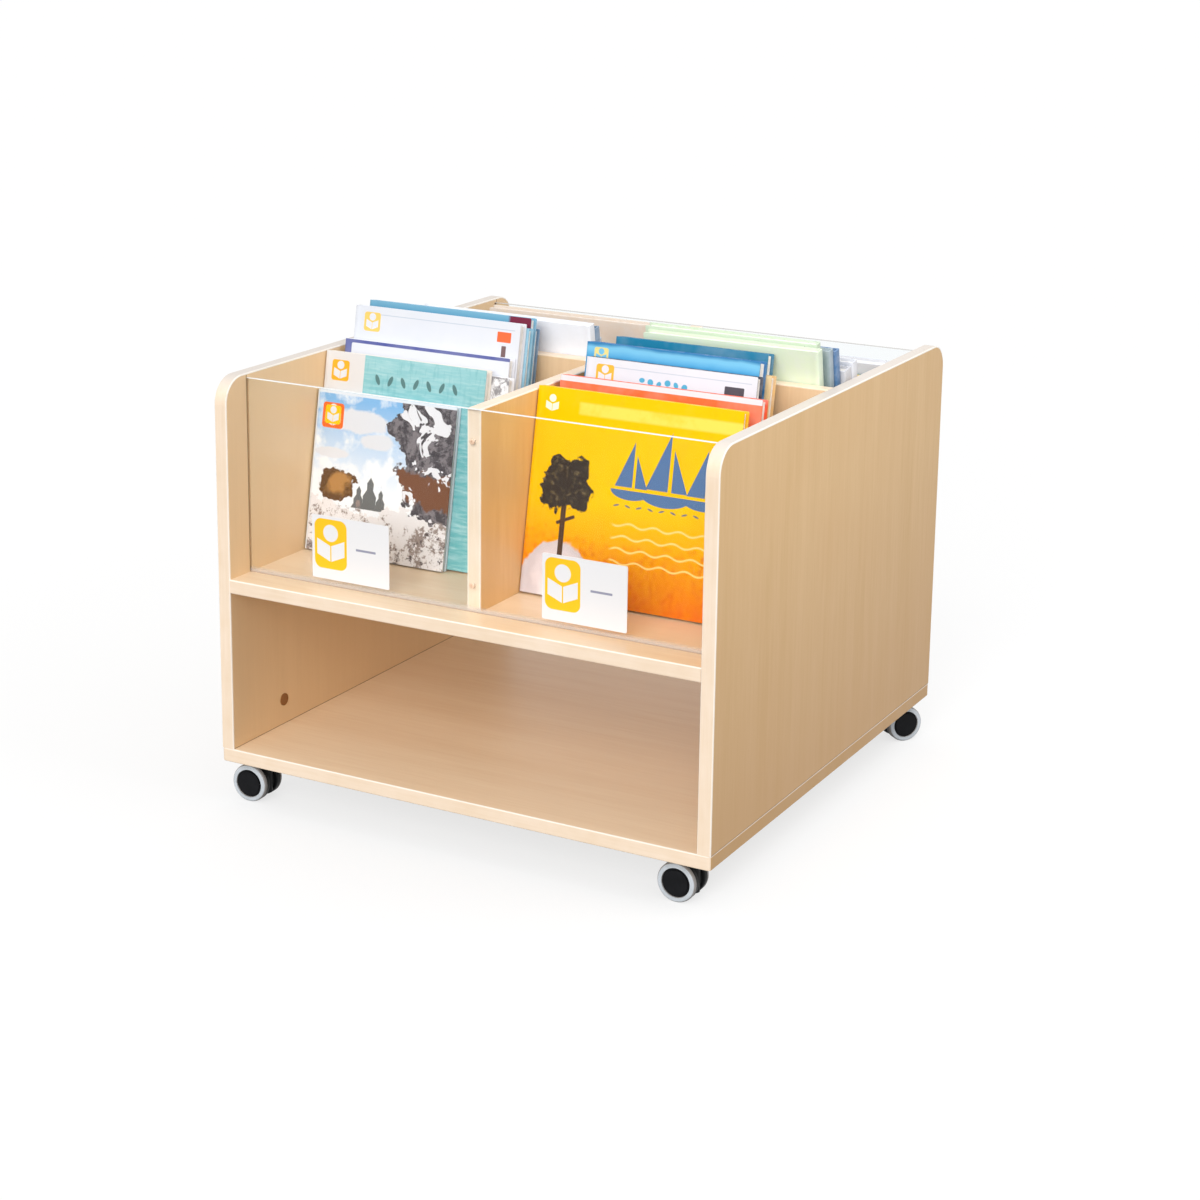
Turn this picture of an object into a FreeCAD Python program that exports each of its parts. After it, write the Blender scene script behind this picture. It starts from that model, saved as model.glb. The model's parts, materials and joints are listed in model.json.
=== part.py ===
import FreeCAD, Part
import math
import os

# Picture book browser bin: a square, two-sided book bin of laminate-faced board on four twin-wheel
# swivel casters.  Origin on the floor under the middle of the bin, +Z up, the front towards -Y.

# ---- driving dimensions, mm ----------------------------------------------------------------
WIDTH = 700.0            # over the side panels, along X
DEPTH = 700.0            # front to rear, along Y
BOARD = 18.0             # every board is 18 mm thick
BAND = 2.0               # edge banding
ARRIS = 1.5              # rounded edges of the banding
BASE_UNDERSIDE = 58.0    # height of the casters
SHELF_TOP = 304.0        # floor of the four book bays
SIDE_TOP = 564.0
DIVIDER_TOP = 558.0      # front and rear dividers and the acrylic panels end here
SIDE_CORNER = 34.0       # rounded upper corners of the side panels
BASE_CORNER = 4.0

ACRYLIC = 5.0
ACRYLIC_SETBACK = 44.0   # from the board edges to the outer face of an acrylic panel
GROOVE = 4.0             # how deep the acrylic stands in the boards
GROOVE_PLAY = 0.1
POLISHED_ARRIS = 0.5
CARD_SIZE = (115.0, 82.0, 1.0)
CARD_CORNER = 2.0
CARD_BOTTOM = SHELF_TOP + 9.0
CARD_CENTRES = {"label_card_left": -177.0, "label_card_right": 156.0}

CAM_R, CAM_DEPTH = 7.5, 12.5      # eccentric cam housing
CAM_REACH = 34.0                  # cam centre to the end of the board
CAM_Y = 239.0
CAM_CAP_R, CAM_CAP = 8.2, 1.2
CAM_BOLT_R, CAM_BOLT_ANCHOR = 3.0, 11.0
CAM_BALL_R, CAM_BALL_LONG = 3.5, 6.0
DOWEL_R, DOWEL_LONG, DOWEL_IN = 4.0, 32.0, 10.0
DOWEL_Y = 150.0
SIDE_DOWEL_HEIGHTS = (360.0, 500.0)
BAY_DOWELS = {-1: (360.0, 500.0), 1: (400.0, 460.0)}     # front and rear divider, clear of each other
BAY_DOWEL_IN = 8.0
SCREW_R, SCREW_HEAD_R, SCREW_HEAD = 2.5, 4.5, 3.0
SCREW_BITE = 32.0
SCREW_PLACES = ((-240, 0), (240, 0), (0, -240), (0, -100), (0, 100), (0, 240))
FIXING_HEIGHTS = (338.0, 518.0)   # acrylic screws up the divider edge
FIXING_R, FIXING_HEAD_R, FIXING_HEAD, FIXING_LONG = 2.0, 3.5, 1.6, 25.0
FIXING_ROUND = 0.6

CASTER_INSET = 40.0      # swivel axis to the edges of the base
WHEEL_R = 25.0
HUB_DISC_R = 18.0
TRAIL = 14.0             # swivel axis to axle
WHEEL_INNER, WHEEL_OUTER = 8.3, 21.3     # wheel faces, from the middle of the caster
AXLE_REACH, BORE_END = 18.8, 19.1        # axle ends and the wheels' blind bores
RING_WIDTH = 6.0
AXLE_R, KINGPIN_R = 4.0, 4.0
RUNNING_PLAY = 0.05
HOOD_R, HOOD_HALF = 21.0, 7.7
SOCKET_FLOOR = 15.5      # bottom of the swivel socket
BOSS_BOTTOM, HOOD_TOP = 10.0, 54.4
FLANGE_R, FLANGE_NECK_R, FLANGE_BOTTOM, FLANGE_EDGE = 17.0, 13.0, 51.0, 1.2
PLATE = 2.5
PLATE_SIDE, PLATE_CORNER, PLATE_SCREWS = 42.0, 5.0, 32.0
RIVET_R = 5.0
PLATE_SCREW_R, PLATE_SCREW_HEAD_R, PLATE_SCREW_HEAD, PLATE_SCREW_LONG = 1.9, 4.0, 2.2, 16.0
PLATE_HOLE_R = 2.3
# where each caster's wheels trail to, degrees from +X
CASTERS = {
    "front_left": (-1, -1, 183.0),
    "front_right": (1, -1, 181.0),
    "rear_left": (-1, 1, 118.0),
    "rear_right": (1, 1, 51.0),
}

BOOK_GAP = 0.8
COVER_LIP = 3.0          # how far the covers stand past the pages
BOOK_LIFT = 0.3          # clear of the shelf, so that only an edge line nearly touches
LEAN = 10.0              # degrees, books lean back against the cross divider

# ---- derived places -------------------------------------------------------------------------
HALF_W, HALF_D = WIDTH / 2, DEPTH / 2
BASE_TOP = BASE_UNDERSIDE + BOARD
INNER = HALF_W - BOARD                    # inner face of a side panel
HALF_B = BOARD / 2
ACRYLIC_OUT = HALF_D - ACRYLIC_SETBACK
ACRYLIC_IN = ACRYLIC_OUT - ACRYLIC
CASTER_X, CASTER_Y = HALF_W - CASTER_INSET, HALF_D - CASTER_INSET
PLATE_BOTTOM = BASE_UNDERSIDE - PLATE

X_AXIS = FreeCAD.Vector(1, 0, 0)
Y_AXIS = FreeCAD.Vector(0, 1, 0)
Z_AXIS = FreeCAD.Vector(0, 0, 1)
ORIGIN = FreeCAD.Vector(0, 0, 0)


# ---- helpers --------------------------------------------------------------------------------
def block(x0, x1, y0, y1, z0, z1):
    """A box between two corners."""
    return Part.makeBox(x1 - x0, y1 - y0, z1 - z0, FreeCAD.Vector(x0, y0, z0))


def rod(start, direction, radius, length):
    """A round bar from a start point along a direction."""
    return Part.makeCylinder(radius, length, FreeCAD.Vector(*start), direction)


def fuse(shapes):
    """One solid from shapes that meet."""
    whole = shapes[0].multiFuse(list(shapes[1:])) if len(shapes) > 1 else shapes[0]
    return whole.removeSplitter()


def group(shapes):
    """Separate solids that share a node."""
    return Part.makeCompound(list(shapes))


def cut(shape, tools):
    """The shape with every tool taken away."""
    return shape.cut(group(tools)) if tools else shape


def mirrored_y(shapes):
    """The shapes and their mirror images in the plane Y = 0."""
    return list(shapes) + [shape.mirror(ORIGIN, Y_AXIS) for shape in shapes]


def plain_slab(half_x, half_y, z0, z1, corner):
    """A flat board with rounded vertical corners."""
    slab = block(-half_x, half_x, -half_y, half_y, z0, z1)
    upright = [e for e in slab.Edges if abs(e.BoundBox.ZLength - (z1 - z0)) < 1e-6]
    return slab.makeFillet(corner, upright)


def side_outline(inset):
    """The outline of a side panel in the YZ plane, with rounded upper corners."""
    half, top, low = HALF_D - inset, SIDE_TOP - inset, BASE_TOP
    radius = SIDE_CORNER - inset
    middle = radius * (1 - math.sqrt(0.5))
    points = [
        (-half, low), (-half, top - radius), (-half + middle, top - middle), (-half + radius, top),
        (half - radius, top), (half - middle, top - middle), (half, top - radius), (half, low),
    ]
    p = [FreeCAD.Vector(0, y, z) for y, z in points]
    edges = [
        Part.LineSegment(p[0], p[1]), Part.Arc(p[1], p[2], p[3]), Part.LineSegment(p[3], p[4]),
        Part.Arc(p[4], p[5], p[6]), Part.LineSegment(p[6], p[7]), Part.LineSegment(p[7], p[0]),
    ]
    return Part.Face(Part.Wire([edge.toShape() for edge in edges]))


# ---- fixings --------------------------------------------------------------------------------
def side_signs():
    """The four cam places: left or right, front or rear."""
    return [(sx, sy) for sx in (-1, 1) for sy in (-1, 1)]


def base_cam(sx, sy, radius, depth, gap=0.0):
    """A disc in the inner face of a side panel, above the base."""
    start = (sx * (INNER - gap), sy * CAM_Y, BASE_TOP + CAM_REACH)
    return rod(start, X_AXIS * sx, radius, depth)


def shelf_cam(sx, sy, radius, depth, gap=0.0):
    """A disc in the underside of the bin shelf, near its end."""
    start = (sx * (INNER - CAM_REACH), sy * CAM_Y, SHELF_TOP - BOARD - gap)
    return rod(start, Z_AXIS, radius, depth)


def cam_bolt(sx, sy, at_shelf):
    """A cam bolt: anchored in one board, its head held in the cam of the other."""
    if at_shelf:
        start = (sx * (INNER + CAM_BOLT_ANCHOR), sy * CAM_Y, SHELF_TOP - HALF_B)
        way = X_AXIS * -sx
    else:
        start = (sx * (HALF_W - HALF_B), sy * CAM_Y, BASE_TOP - CAM_BOLT_ANCHOR)
        way = Z_AXIS
    length = CAM_BOLT_ANCHOR + CAM_REACH
    shank = rod(start, way, CAM_BOLT_R, length)
    tip = FreeCAD.Vector(*start) + way * (length - CAM_BALL_LONG / 2)
    return fuse([shank, Part.makeCylinder(CAM_BALL_R, CAM_BALL_LONG, tip, way)])


def all_cam_bolts():
    """Four bolts up into the side panels and four sideways into the bin shelf."""
    return [cam_bolt(sx, sy, at_shelf) for sx, sy in side_signs() for at_shelf in (False, True)]


def dowels():
    """Beech dowels between the boards."""
    pins = []
    for sx, sy in side_signs():
        pins.append(rod((sx * (HALF_W - HALF_B), sy * DOWEL_Y, BASE_TOP - DOWEL_IN), Z_AXIS,
                        DOWEL_R, DOWEL_LONG))
        pins.append(rod((sx * (INNER + DOWEL_IN), sy * DOWEL_Y, SHELF_TOP - HALF_B), X_AXIS * -sx,
                        DOWEL_R, DOWEL_LONG))
    for sx in (-1, 1):
        for height in SIDE_DOWEL_HEIGHTS:
            pins.append(rod((sx * (INNER + DOWEL_IN), 0, height), X_AXIS * -sx, DOWEL_R, DOWEL_LONG))
    for sy, heights in BAY_DOWELS.items():
        for height in heights:
            start = (0, sy * (HALF_B - BAY_DOWEL_IN), height)
            pins.append(rod(start, Y_AXIS * sy, DOWEL_R, DOWEL_LONG))
    return pins


def divider_screws():
    """Countersunk screws up through the bin shelf into the dividers."""
    low = SHELF_TOP - BOARD
    screws = []
    for x, y in SCREW_PLACES:
        head = Part.makeCone(SCREW_HEAD_R, SCREW_R, SCREW_HEAD, FreeCAD.Vector(x, y, low), Z_AXIS)
        shank = rod((x, y, low + SCREW_HEAD), Z_AXIS, SCREW_R, BOARD - SCREW_HEAD + SCREW_BITE)
        screws.append(fuse([head, shank]))
    return screws


def acrylic_screws():
    """Pan-head screws through the acrylic into the divider edges."""
    screws = []
    for sy in (-1, 1):
        for height in FIXING_HEIGHTS:
            head = rod((0, sy * ACRYLIC_OUT, height), Y_AXIS * sy, FIXING_HEAD_R, FIXING_HEAD)
            shank = rod((0, sy * ACRYLIC_OUT, height), Y_AXIS * -sy, FIXING_R, FIXING_LONG)
            head = head.makeFillet(FIXING_ROUND, [outer_rim(head, sy)])
            screws.append(fuse([head, shank]))
    return screws


def outer_rim(head, sy):
    """The round edge of a screw head that faces away from the bin."""
    rims = [e for e in head.Edges if isinstance(e.Curve, Part.Circle)]
    return max(rims, key=lambda e: sy * e.CenterOfMass.y)


# ---- boards and their banding -----------------------------------------------------------------
def grooves():
    """Slots for both acrylic panels in the side panels and in the bin shelf."""
    reach = INNER + GROOVE + GROOVE_PLAY
    front = block(-reach, reach, -ACRYLIC_OUT - GROOVE_PLAY, -ACRYLIC_IN + GROOVE_PLAY,
                  SHELF_TOP - GROOVE, DIVIDER_TOP + GROOVE_PLAY)
    return mirrored_y([front])


def base_board_parts():
    """The base board and the banding ring round it."""
    outer = plain_slab(HALF_W, HALF_D, BASE_UNDERSIDE, BASE_TOP, BASE_CORNER)
    rims = [e for e in outer.Edges if e.BoundBox.ZLength < 1e-6]
    outer = outer.makeFillet(ARRIS, rims)
    core = plain_slab(HALF_W - BAND, HALF_D - BAND, BASE_UNDERSIDE, BASE_TOP, BASE_CORNER - BAND)
    holes = all_cam_bolts() + dowels() + caster_screws()
    return cut(core, holes), outer.cut(core)


def side_panel_parts(sx):
    """A side panel and the banding strip over its front, top and rear edges."""
    start = FreeCAD.Vector(sx * INNER, 0, 0)
    outer = side_outline(0.0).extrude(X_AXIS * BOARD * sx)
    outer.translate(start)
    rims = [e for e in outer.Edges if e.BoundBox.XLength < 1e-6 and e.CenterOfMass.z > BASE_TOP + 1]
    outer = outer.makeFillet(ARRIS, rims)
    core = side_outline(BAND).extrude(X_AXIS * BOARD * sx)
    core.translate(start)
    pockets = [base_cam(sx, sy, CAM_R, CAM_DEPTH) for sy in (-1, 1)]
    return cut(core, pockets + all_cam_bolts() + dowels() + grooves()), outer.cut(core)


def bin_shelf_parts():
    """The bin shelf and the banding on its front and rear edges."""
    low = SHELF_TOP - BOARD
    core = block(-INNER, INNER, -HALF_D + BAND, HALF_D - BAND, low, SHELF_TOP)
    pockets = [shelf_cam(sx, sy, CAM_R, CAM_DEPTH) for sx, sy in side_signs()]
    core = cut(core, pockets + all_cam_bolts() + dowels() + divider_screws() + grooves())
    strip = block(-INNER, INNER, -HALF_D, -HALF_D + BAND, low, SHELF_TOP)
    strip = round_long_edges(strip, "x", lambda e: e.CenterOfMass.y < -HALF_D + 0.1)
    return core, group(mirrored_y([strip]))


def round_long_edges(strip, axis, chosen):
    """Round a strip's long edges that the test picks."""
    length = {"x": "XLength", "y": "YLength", "z": "ZLength"}[axis]
    full = getattr(strip.BoundBox, length)
    edges = [e for e in strip.Edges if abs(getattr(e.BoundBox, length) - full) < 1e-6 and chosen(e)]
    return strip.makeFillet(ARRIS, edges)


def cross_divider_parts():
    """The board between front and rear bays and the banding on its top."""
    top = SIDE_TOP - BAND
    core = block(-INNER, INNER, -HALF_B, HALF_B, SHELF_TOP, top)
    strip = block(-INNER, INNER, -HALF_B, HALF_B, top, SIDE_TOP)
    strip = round_long_edges(strip, "x", lambda e: e.CenterOfMass.z > SIDE_TOP - 0.1)
    return cut(core, dowels() + divider_screws()), strip


def bay_divider_parts(sy):
    """The divider between two bays of one side, with banding on its top and outer edge."""
    outer_y = ACRYLIC_IN
    near, far = sorted((sy * HALF_B, sy * (outer_y - BAND)))
    core = block(-HALF_B, HALF_B, near, far, SHELF_TOP, DIVIDER_TOP - BAND)
    near, far = sorted((sy * HALF_B, sy * outer_y))
    whole = block(-HALF_B, HALF_B, near, far, SHELF_TOP, DIVIDER_TOP)
    whole = round_long_edges(whole, "y", lambda e: e.CenterOfMass.z > DIVIDER_TOP - 0.1)
    holes = dowels() + divider_screws() + acrylic_screws()
    return cut(core, holes), cut(whole.cut(core), acrylic_screws())


def acrylic_panel(sy):
    """A clear panel across both bays of one side."""
    reach = INNER + GROOVE
    near, far = sorted((sy * ACRYLIC_OUT, sy * ACRYLIC_IN))
    panel = block(-reach, reach, near, far, SHELF_TOP - GROOVE + GROOVE_PLAY, DIVIDER_TOP)
    rims = [e for e in panel.Edges if e.BoundBox.XLength > INNER and e.CenterOfMass.z > DIVIDER_TOP - 1]
    panel = panel.makeChamfer(POLISHED_ARRIS, rims)
    return cut(panel, acrylic_screws())


def label_card(centre):
    """A label card stuck on the front panel."""
    width, height, thick = CARD_SIZE
    card = block(centre - width / 2, centre + width / 2, -ACRYLIC_OUT - thick, -ACRYLIC_OUT,
                 CARD_BOTTOM, CARD_BOTTOM + height)
    corners = [e for e in card.Edges if e.BoundBox.YLength > thick - 1e-6 and e.BoundBox.ZLength < 1]
    return card.makeFillet(CARD_CORNER, corners)


# ---- casters ----------------------------------------------------------------------------------
def placed(shape, caster):
    """A shape of the caster's own frame, turned and moved to its corner of the base."""
    sx, sy, heading = CASTERS[caster]
    shape.rotate(ORIGIN, Z_AXIS, heading)
    shape.translate(FreeCAD.Vector(sx * CASTER_X, sy * CASTER_Y, 0))
    return shape


def plate_screw_places():
    """The four screw holes of a caster plate, about the swivel axis."""
    half = PLATE_SCREWS / 2
    return [(dx * half, dy * half) for dx in (-1, 1) for dy in (-1, 1)]


def caster_screw(x, y):
    """A pan-head screw up through the plate into the base board."""
    head = rod((x, y, PLATE_BOTTOM - PLATE_SCREW_HEAD), Z_AXIS, PLATE_SCREW_HEAD_R, PLATE_SCREW_HEAD)
    return fuse([head, rod((x, y, PLATE_BOTTOM), Z_AXIS, PLATE_SCREW_R, PLATE_SCREW_LONG)])


def caster_screws():
    """All sixteen plate screws."""
    corners = [(sx * CASTER_X, sy * CASTER_Y) for sx, sy, _ in CASTERS.values()]
    return [caster_screw(cx + dx, cy + dy) for cx, cy in corners for dx, dy in plate_screw_places()]


def caster_plate(caster):
    """The steel top plate, square to the bin."""
    sx, sy, _ = CASTERS[caster]
    half = PLATE_SIDE / 2
    plate = plain_slab(half, half, PLATE_BOTTOM, BASE_UNDERSIDE, PLATE_CORNER)
    holes = [rod((dx, dy, PLATE_BOTTOM), Z_AXIS, PLATE_HOLE_R, PLATE) for dx, dy in plate_screw_places()]
    holes.append(rod((0, 0, PLATE_BOTTOM), Z_AXIS, RIVET_R, PLATE))
    plate = cut(plate, holes)
    plate.translate(FreeCAD.Vector(sx * CASTER_X, sy * CASTER_Y, 0))
    return plate


def kingpin(caster):
    """The swivel pin, riveted flush in the top plate."""
    head = rod((0, 0, PLATE_BOTTOM), Z_AXIS, RIVET_R, PLATE)
    low = SOCKET_FLOOR + 0.5
    pin = rod((0, 0, low), Z_AXIS, KINGPIN_R, PLATE_BOTTOM - low)
    return placed(fuse([head, pin]), caster)


def hood(caster):
    """The black nylon body between the wheels, with its swivel socket and top flange."""
    web = rod((TRAIL, -HOOD_HALF, WHEEL_R), Y_AXIS, HOOD_R, 2 * HOOD_HALF)
    boss = rod((0, 0, BOSS_BOTTOM), Z_AXIS, HOOD_HALF, FLANGE_BOTTOM + 1 - BOSS_BOTTOM)
    neck = block(0, TRAIL, -HOOD_HALF, HOOD_HALF, BOSS_BOTTOM, FLANGE_BOTTOM + 1)
    flare = HOOD_TOP - FLANGE_EDGE - FLANGE_BOTTOM
    flange = Part.makeCone(FLANGE_NECK_R, FLANGE_R, flare, Z_AXIS * FLANGE_BOTTOM, Z_AXIS)
    rim = rod((0, 0, HOOD_TOP - FLANGE_EDGE), Z_AXIS, FLANGE_R, FLANGE_EDGE)
    body = fuse([web, boss, neck, flange, rim])
    socket = rod((0, 0, SOCKET_FLOOR), Z_AXIS, KINGPIN_R + RUNNING_PLAY, PLATE_BOTTOM)
    bore = rod((TRAIL, -WHEEL_R, WHEEL_R), Y_AXIS, AXLE_R, 2 * WHEEL_R)
    return placed(cut(body, [socket, bore]), caster)


def axle(caster):
    """The steel axle, held in the hood."""
    return placed(rod((TRAIL, -AXLE_REACH, WHEEL_R), Y_AXIS, AXLE_R, 2 * AXLE_REACH), caster)


def revolved_about_axle(points, side):
    """A body of revolution about the axle; points are (distance from the middle, radius)."""
    vectors = [FreeCAD.Vector(TRAIL + radius, side * along, WHEEL_R) for along, radius in points]
    face = Part.Face(Part.makePolygon(vectors + vectors[:1]))
    return face.revolve(FreeCAD.Vector(TRAIL, 0, WHEEL_R), Y_AXIS, 360)


def wheel_core(caster, side):
    """A black nylon wheel: tread, hub disc and blind axle bore."""
    bore_r = AXLE_R + RUNNING_PLAY
    step = WHEEL_OUTER - RING_WIDTH
    profile = [
        (WHEEL_INNER, bore_r), (BORE_END, bore_r), (BORE_END, 0.0),
        (WHEEL_OUTER - 0.4, 0.0), (WHEEL_OUTER - 0.6, HUB_DISC_R - 5.0),
        (WHEEL_OUTER - 1.2, HUB_DISC_R - 1.0), (WHEEL_OUTER - 1.8, HUB_DISC_R),
        (step, HUB_DISC_R), (step, WHEEL_R), (WHEEL_INNER + 1.5, WHEEL_R),
        (WHEEL_INNER, WHEEL_R - 1.5),
    ]
    return placed(revolved_about_axle(profile, side), caster)


def wheel_ring(caster, side):
    """The pale soft ring round the outer shoulder of a wheel."""
    inner_r, step = HUB_DISC_R + 0.05, WHEEL_OUTER - RING_WIDTH + 0.05
    profile = [
        (step, inner_r), (WHEEL_OUTER - 1.0, inner_r), (WHEEL_OUTER - 0.2, inner_r + 0.8),
        (WHEEL_OUTER, inner_r + 2.4), (WHEEL_OUTER - 0.5, WHEEL_R - 2.6),
        (WHEEL_OUTER - 1.4, WHEEL_R - 1.0), (WHEEL_OUTER - 2.8, WHEEL_R - 0.2),
        (WHEEL_OUTER - 3.6, WHEEL_R), (step, WHEEL_R),
    ]
    return placed(revolved_about_axle(profile, side), caster)


# ---- books --------------------------------------------------------------------------------------
# each bay's row from the reader's side back to the cross divider:
# (name or None, thickness, width, height, left edge as seen from the front, cover board)
FRONT_LEFT = [
    ("picture_book_a", 11, 214, 212, -330, 2.5), ("picture_book_b", 15, 246, 260, -331, 2.5),
    (None, 15, 262, 250, -322, 2.0), (None, 16, 253, 271, -324, 2.0), (None, 16, 254, 313, -323, 2.0),
    (None, 13, 238, 305, -304, 2.0), (None, 16, 250, 315, -322, 2.5), (None, 24, 236, 296, -316, 2.5),
]
FRONT_RIGHT = [
    ("picture_book_c", 15, 282, 259, 10, 2.5), (None, 24, 262, 236, 14, 2.5),
    ("picture_book_d", 18, 279, 265, 17, 2.5), (None, 14, 250, 256, 22, 2.0),
    (None, 17, 238, 284, 34, 2.0), (None, 22, 242, 298, 23, 2.5), (None, 16, 238, 278, 34, 2.0),
    (None, 20, 214, 300, 43, 2.5),
]
REAR_LEFT = [
    (None, 14, 256, 277, -266, 2.5), (None, 20, 248, 240, -318, 2.0), (None, 18, 230, 246, -290, 2.0),
    (None, 22, 256, 236, -306, 2.5), (None, 19, 240, 250, -322, 2.0), (None, 18, 240, 270, -280, 2.0),
    (None, 16, 262, 284, -300, 2.0), (None, 20, 244, 276, -310, 2.5), (None, 12, 262, 300, -272, 2.0),
    (None, 14, 262, 306, -272, 2.0),
]
REAR_RIGHT = [
    (None, 20, 254, 255, 72, 2.5), (None, 22, 240, 236, 60, 2.0), (None, 24, 230, 240, 84, 2.5),
    (None, 22, 244, 232, 50, 2.0), (None, 22, 236, 238, 70, 2.5), (None, 14, 250, 280, 76, 2.0),
    (None, 20, 256, 272, 68, 2.5), (None, 12, 248, 301, 70, 2.5), (None, 12, 246, 303, 69, 2.0),
    (None, 14, 240, 313, 64, 2.0), (None, 15, 244, 307, 69, 2.0),
]


def book(thick, width, height, board):
    """A closed hardback, front cover towards -Y, standing on its back lower edge at the origin."""
    lip = COVER_LIP
    pages = block(board, width - lip, -thick + board, -board, lip, height - lip)
    front = block(0, width, -thick, -thick + board, 0, height)
    back = block(0, width, -board, 0, 0, height)
    spine = block(0, board, -thick, 0, 0, height)
    return fuse([front, back, spine, pages])


def book_row(row, rear=False):
    """The solids of one bay's books, spines to the reader's left, each leaning on the next."""
    slope = math.radians(LEAN)
    y_back = -HALF_B - (SIDE_TOP - SHELF_TOP) * math.tan(slope) - BOOK_GAP
    solids = []
    for name, thick, width, height, left, board in reversed(row):
        solid = book(thick, width, height, board)
        solid.rotate(ORIGIN, X_AXIS, -LEAN)
        spine = -(left + width) if rear else left
        solid.translate(FreeCAD.Vector(spine, y_back, SHELF_TOP + BOOK_LIFT))
        if rear:
            solid.rotate(ORIGIN, Z_AXIS, 180)
        solids.append((name, solid))
        y_back -= (thick + BOOK_GAP) / math.cos(slope)
    return solids


def book_nodes():
    """Named single books, and one node for the rest of each bay's row."""
    nodes = {}
    bays = {"books_front_left": (FRONT_LEFT, False), "books_front_right": (FRONT_RIGHT, False),
            "books_rear_left": (REAR_LEFT, True), "books_rear_right": (REAR_RIGHT, True)}
    for bay, (row, rear) in bays.items():
        rest = []
        for name, solid in book_row(row, rear):
            if name:
                nodes[name] = solid
            else:
                rest.append(solid)
        nodes[bay] = group(rest)
    return nodes


# ---- the whole bin --------------------------------------------------------------------------------
def bin_nodes():
    """The fixed pieces of the bin."""
    nodes = {}
    nodes["base_board"], nodes["base_edge_band"] = base_board_parts()
    nodes["side_panel_left"], nodes["side_edge_band_left"] = side_panel_parts(-1)
    nodes["side_panel_right"], nodes["side_edge_band_right"] = side_panel_parts(1)
    nodes["bin_shelf"], nodes["shelf_edge_bands"] = bin_shelf_parts()
    nodes["cross_divider"], cross_band = cross_divider_parts()
    nodes["front_divider"], front_band = bay_divider_parts(-1)
    nodes["rear_divider"], rear_band = bay_divider_parts(1)
    nodes["divider_edge_bands"] = group([cross_band, front_band, rear_band])
    nodes["front_acrylic_panel"] = acrylic_panel(-1)
    nodes["rear_acrylic_panel"] = acrylic_panel(1)
    nodes["acrylic_screws"] = group(acrylic_screws())
    nodes["divider_screws"] = group(divider_screws())
    nodes["dowels"] = group(dowels())
    bolts = all_cam_bolts()
    nodes["cam_bolts"] = group(bolts)
    cams = [cam(sx, sy, CAM_R, CAM_DEPTH) for cam in (base_cam, shelf_cam) for sx, sy in side_signs()]
    nodes["cam_locks"] = group([cut(cam, bolts) for cam in cams])
    nodes["cam_caps"] = group([cam(sx, sy, CAM_CAP_R, CAM_CAP, CAM_CAP)
                               for cam in (base_cam, shelf_cam) for sx, sy in side_signs()])
    for name, centre in CARD_CENTRES.items():
        nodes[name] = label_card(centre)
    return nodes


def caster_nodes():
    """The four casters, piece by piece."""
    nodes = {"caster_screws": group(caster_screws())}
    nodes["caster_kingpins"] = group([kingpin(caster) for caster in CASTERS])
    for caster in CASTERS:
        nodes["caster_plate_" + caster] = caster_plate(caster)
        nodes["caster_hood_" + caster] = hood(caster)
        nodes["caster_axle_" + caster] = axle(caster)
        for wheel, side in (("a", -1), ("b", 1)):
            nodes["wheel_core_%s_%s" % (caster, wheel)] = wheel_core(caster, side)
            nodes["wheel_ring_%s_%s" % (caster, wheel)] = wheel_ring(caster, side)
    return nodes


def main():
    """Build every node and write it to its own file."""
    os.makedirs("parts", exist_ok=True)
    nodes = {**bin_nodes(), **caster_nodes(), **book_nodes()}
    for name, shape in nodes.items():
        shape.exportStep("parts/%s.step" % name)
        box = shape.BoundBox
        print("%-28s solids %2d valid %s volume %9.0f  z %.1f..%.1f" % (
            name, len(shape.Solids), shape.isValid(), shape.Volume, box.ZMin, box.ZMax))
    print(len(nodes), "nodes")


main()
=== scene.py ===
"""Looks of the picture book browser bin: boards, books, label cards, casters and the studio round it."""

import json
import logging
import math
from collections.abc import Iterable, Sequence
from dataclasses import dataclass, field
from enum import Enum

import bmesh
import bpy
from mathutils import Euler, Matrix, Vector

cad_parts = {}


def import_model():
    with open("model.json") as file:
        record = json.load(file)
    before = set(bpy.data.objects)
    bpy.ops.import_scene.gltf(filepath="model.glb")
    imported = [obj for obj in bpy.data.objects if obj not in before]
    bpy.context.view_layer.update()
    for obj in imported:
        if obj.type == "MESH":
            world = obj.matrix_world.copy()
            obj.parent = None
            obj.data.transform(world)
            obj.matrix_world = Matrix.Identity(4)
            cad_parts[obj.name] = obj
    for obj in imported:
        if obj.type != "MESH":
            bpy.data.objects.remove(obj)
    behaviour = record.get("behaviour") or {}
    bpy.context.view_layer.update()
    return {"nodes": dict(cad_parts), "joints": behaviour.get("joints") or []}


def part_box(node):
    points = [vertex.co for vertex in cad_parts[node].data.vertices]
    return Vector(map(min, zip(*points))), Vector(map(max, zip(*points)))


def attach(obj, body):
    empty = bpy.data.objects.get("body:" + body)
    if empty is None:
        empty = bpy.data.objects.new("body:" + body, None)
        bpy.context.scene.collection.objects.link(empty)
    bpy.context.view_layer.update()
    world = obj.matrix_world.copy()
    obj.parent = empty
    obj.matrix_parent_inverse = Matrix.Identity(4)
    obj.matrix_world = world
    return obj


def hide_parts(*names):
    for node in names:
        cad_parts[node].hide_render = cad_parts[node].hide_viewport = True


LOG = logging.getLogger("browser_bin")
Colour = str  # red, green and blue in two hexadecimal digits each
Point = tuple[float, float]
Place = tuple[float, float, float]
Socket = bpy.types.NodeSocket
Node = bpy.types.Node
Material = bpy.types.Material
Piece = bpy.types.Object
MM = 0.001
NEAR = 1e-6  # metres within which two places count as the same


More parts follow.
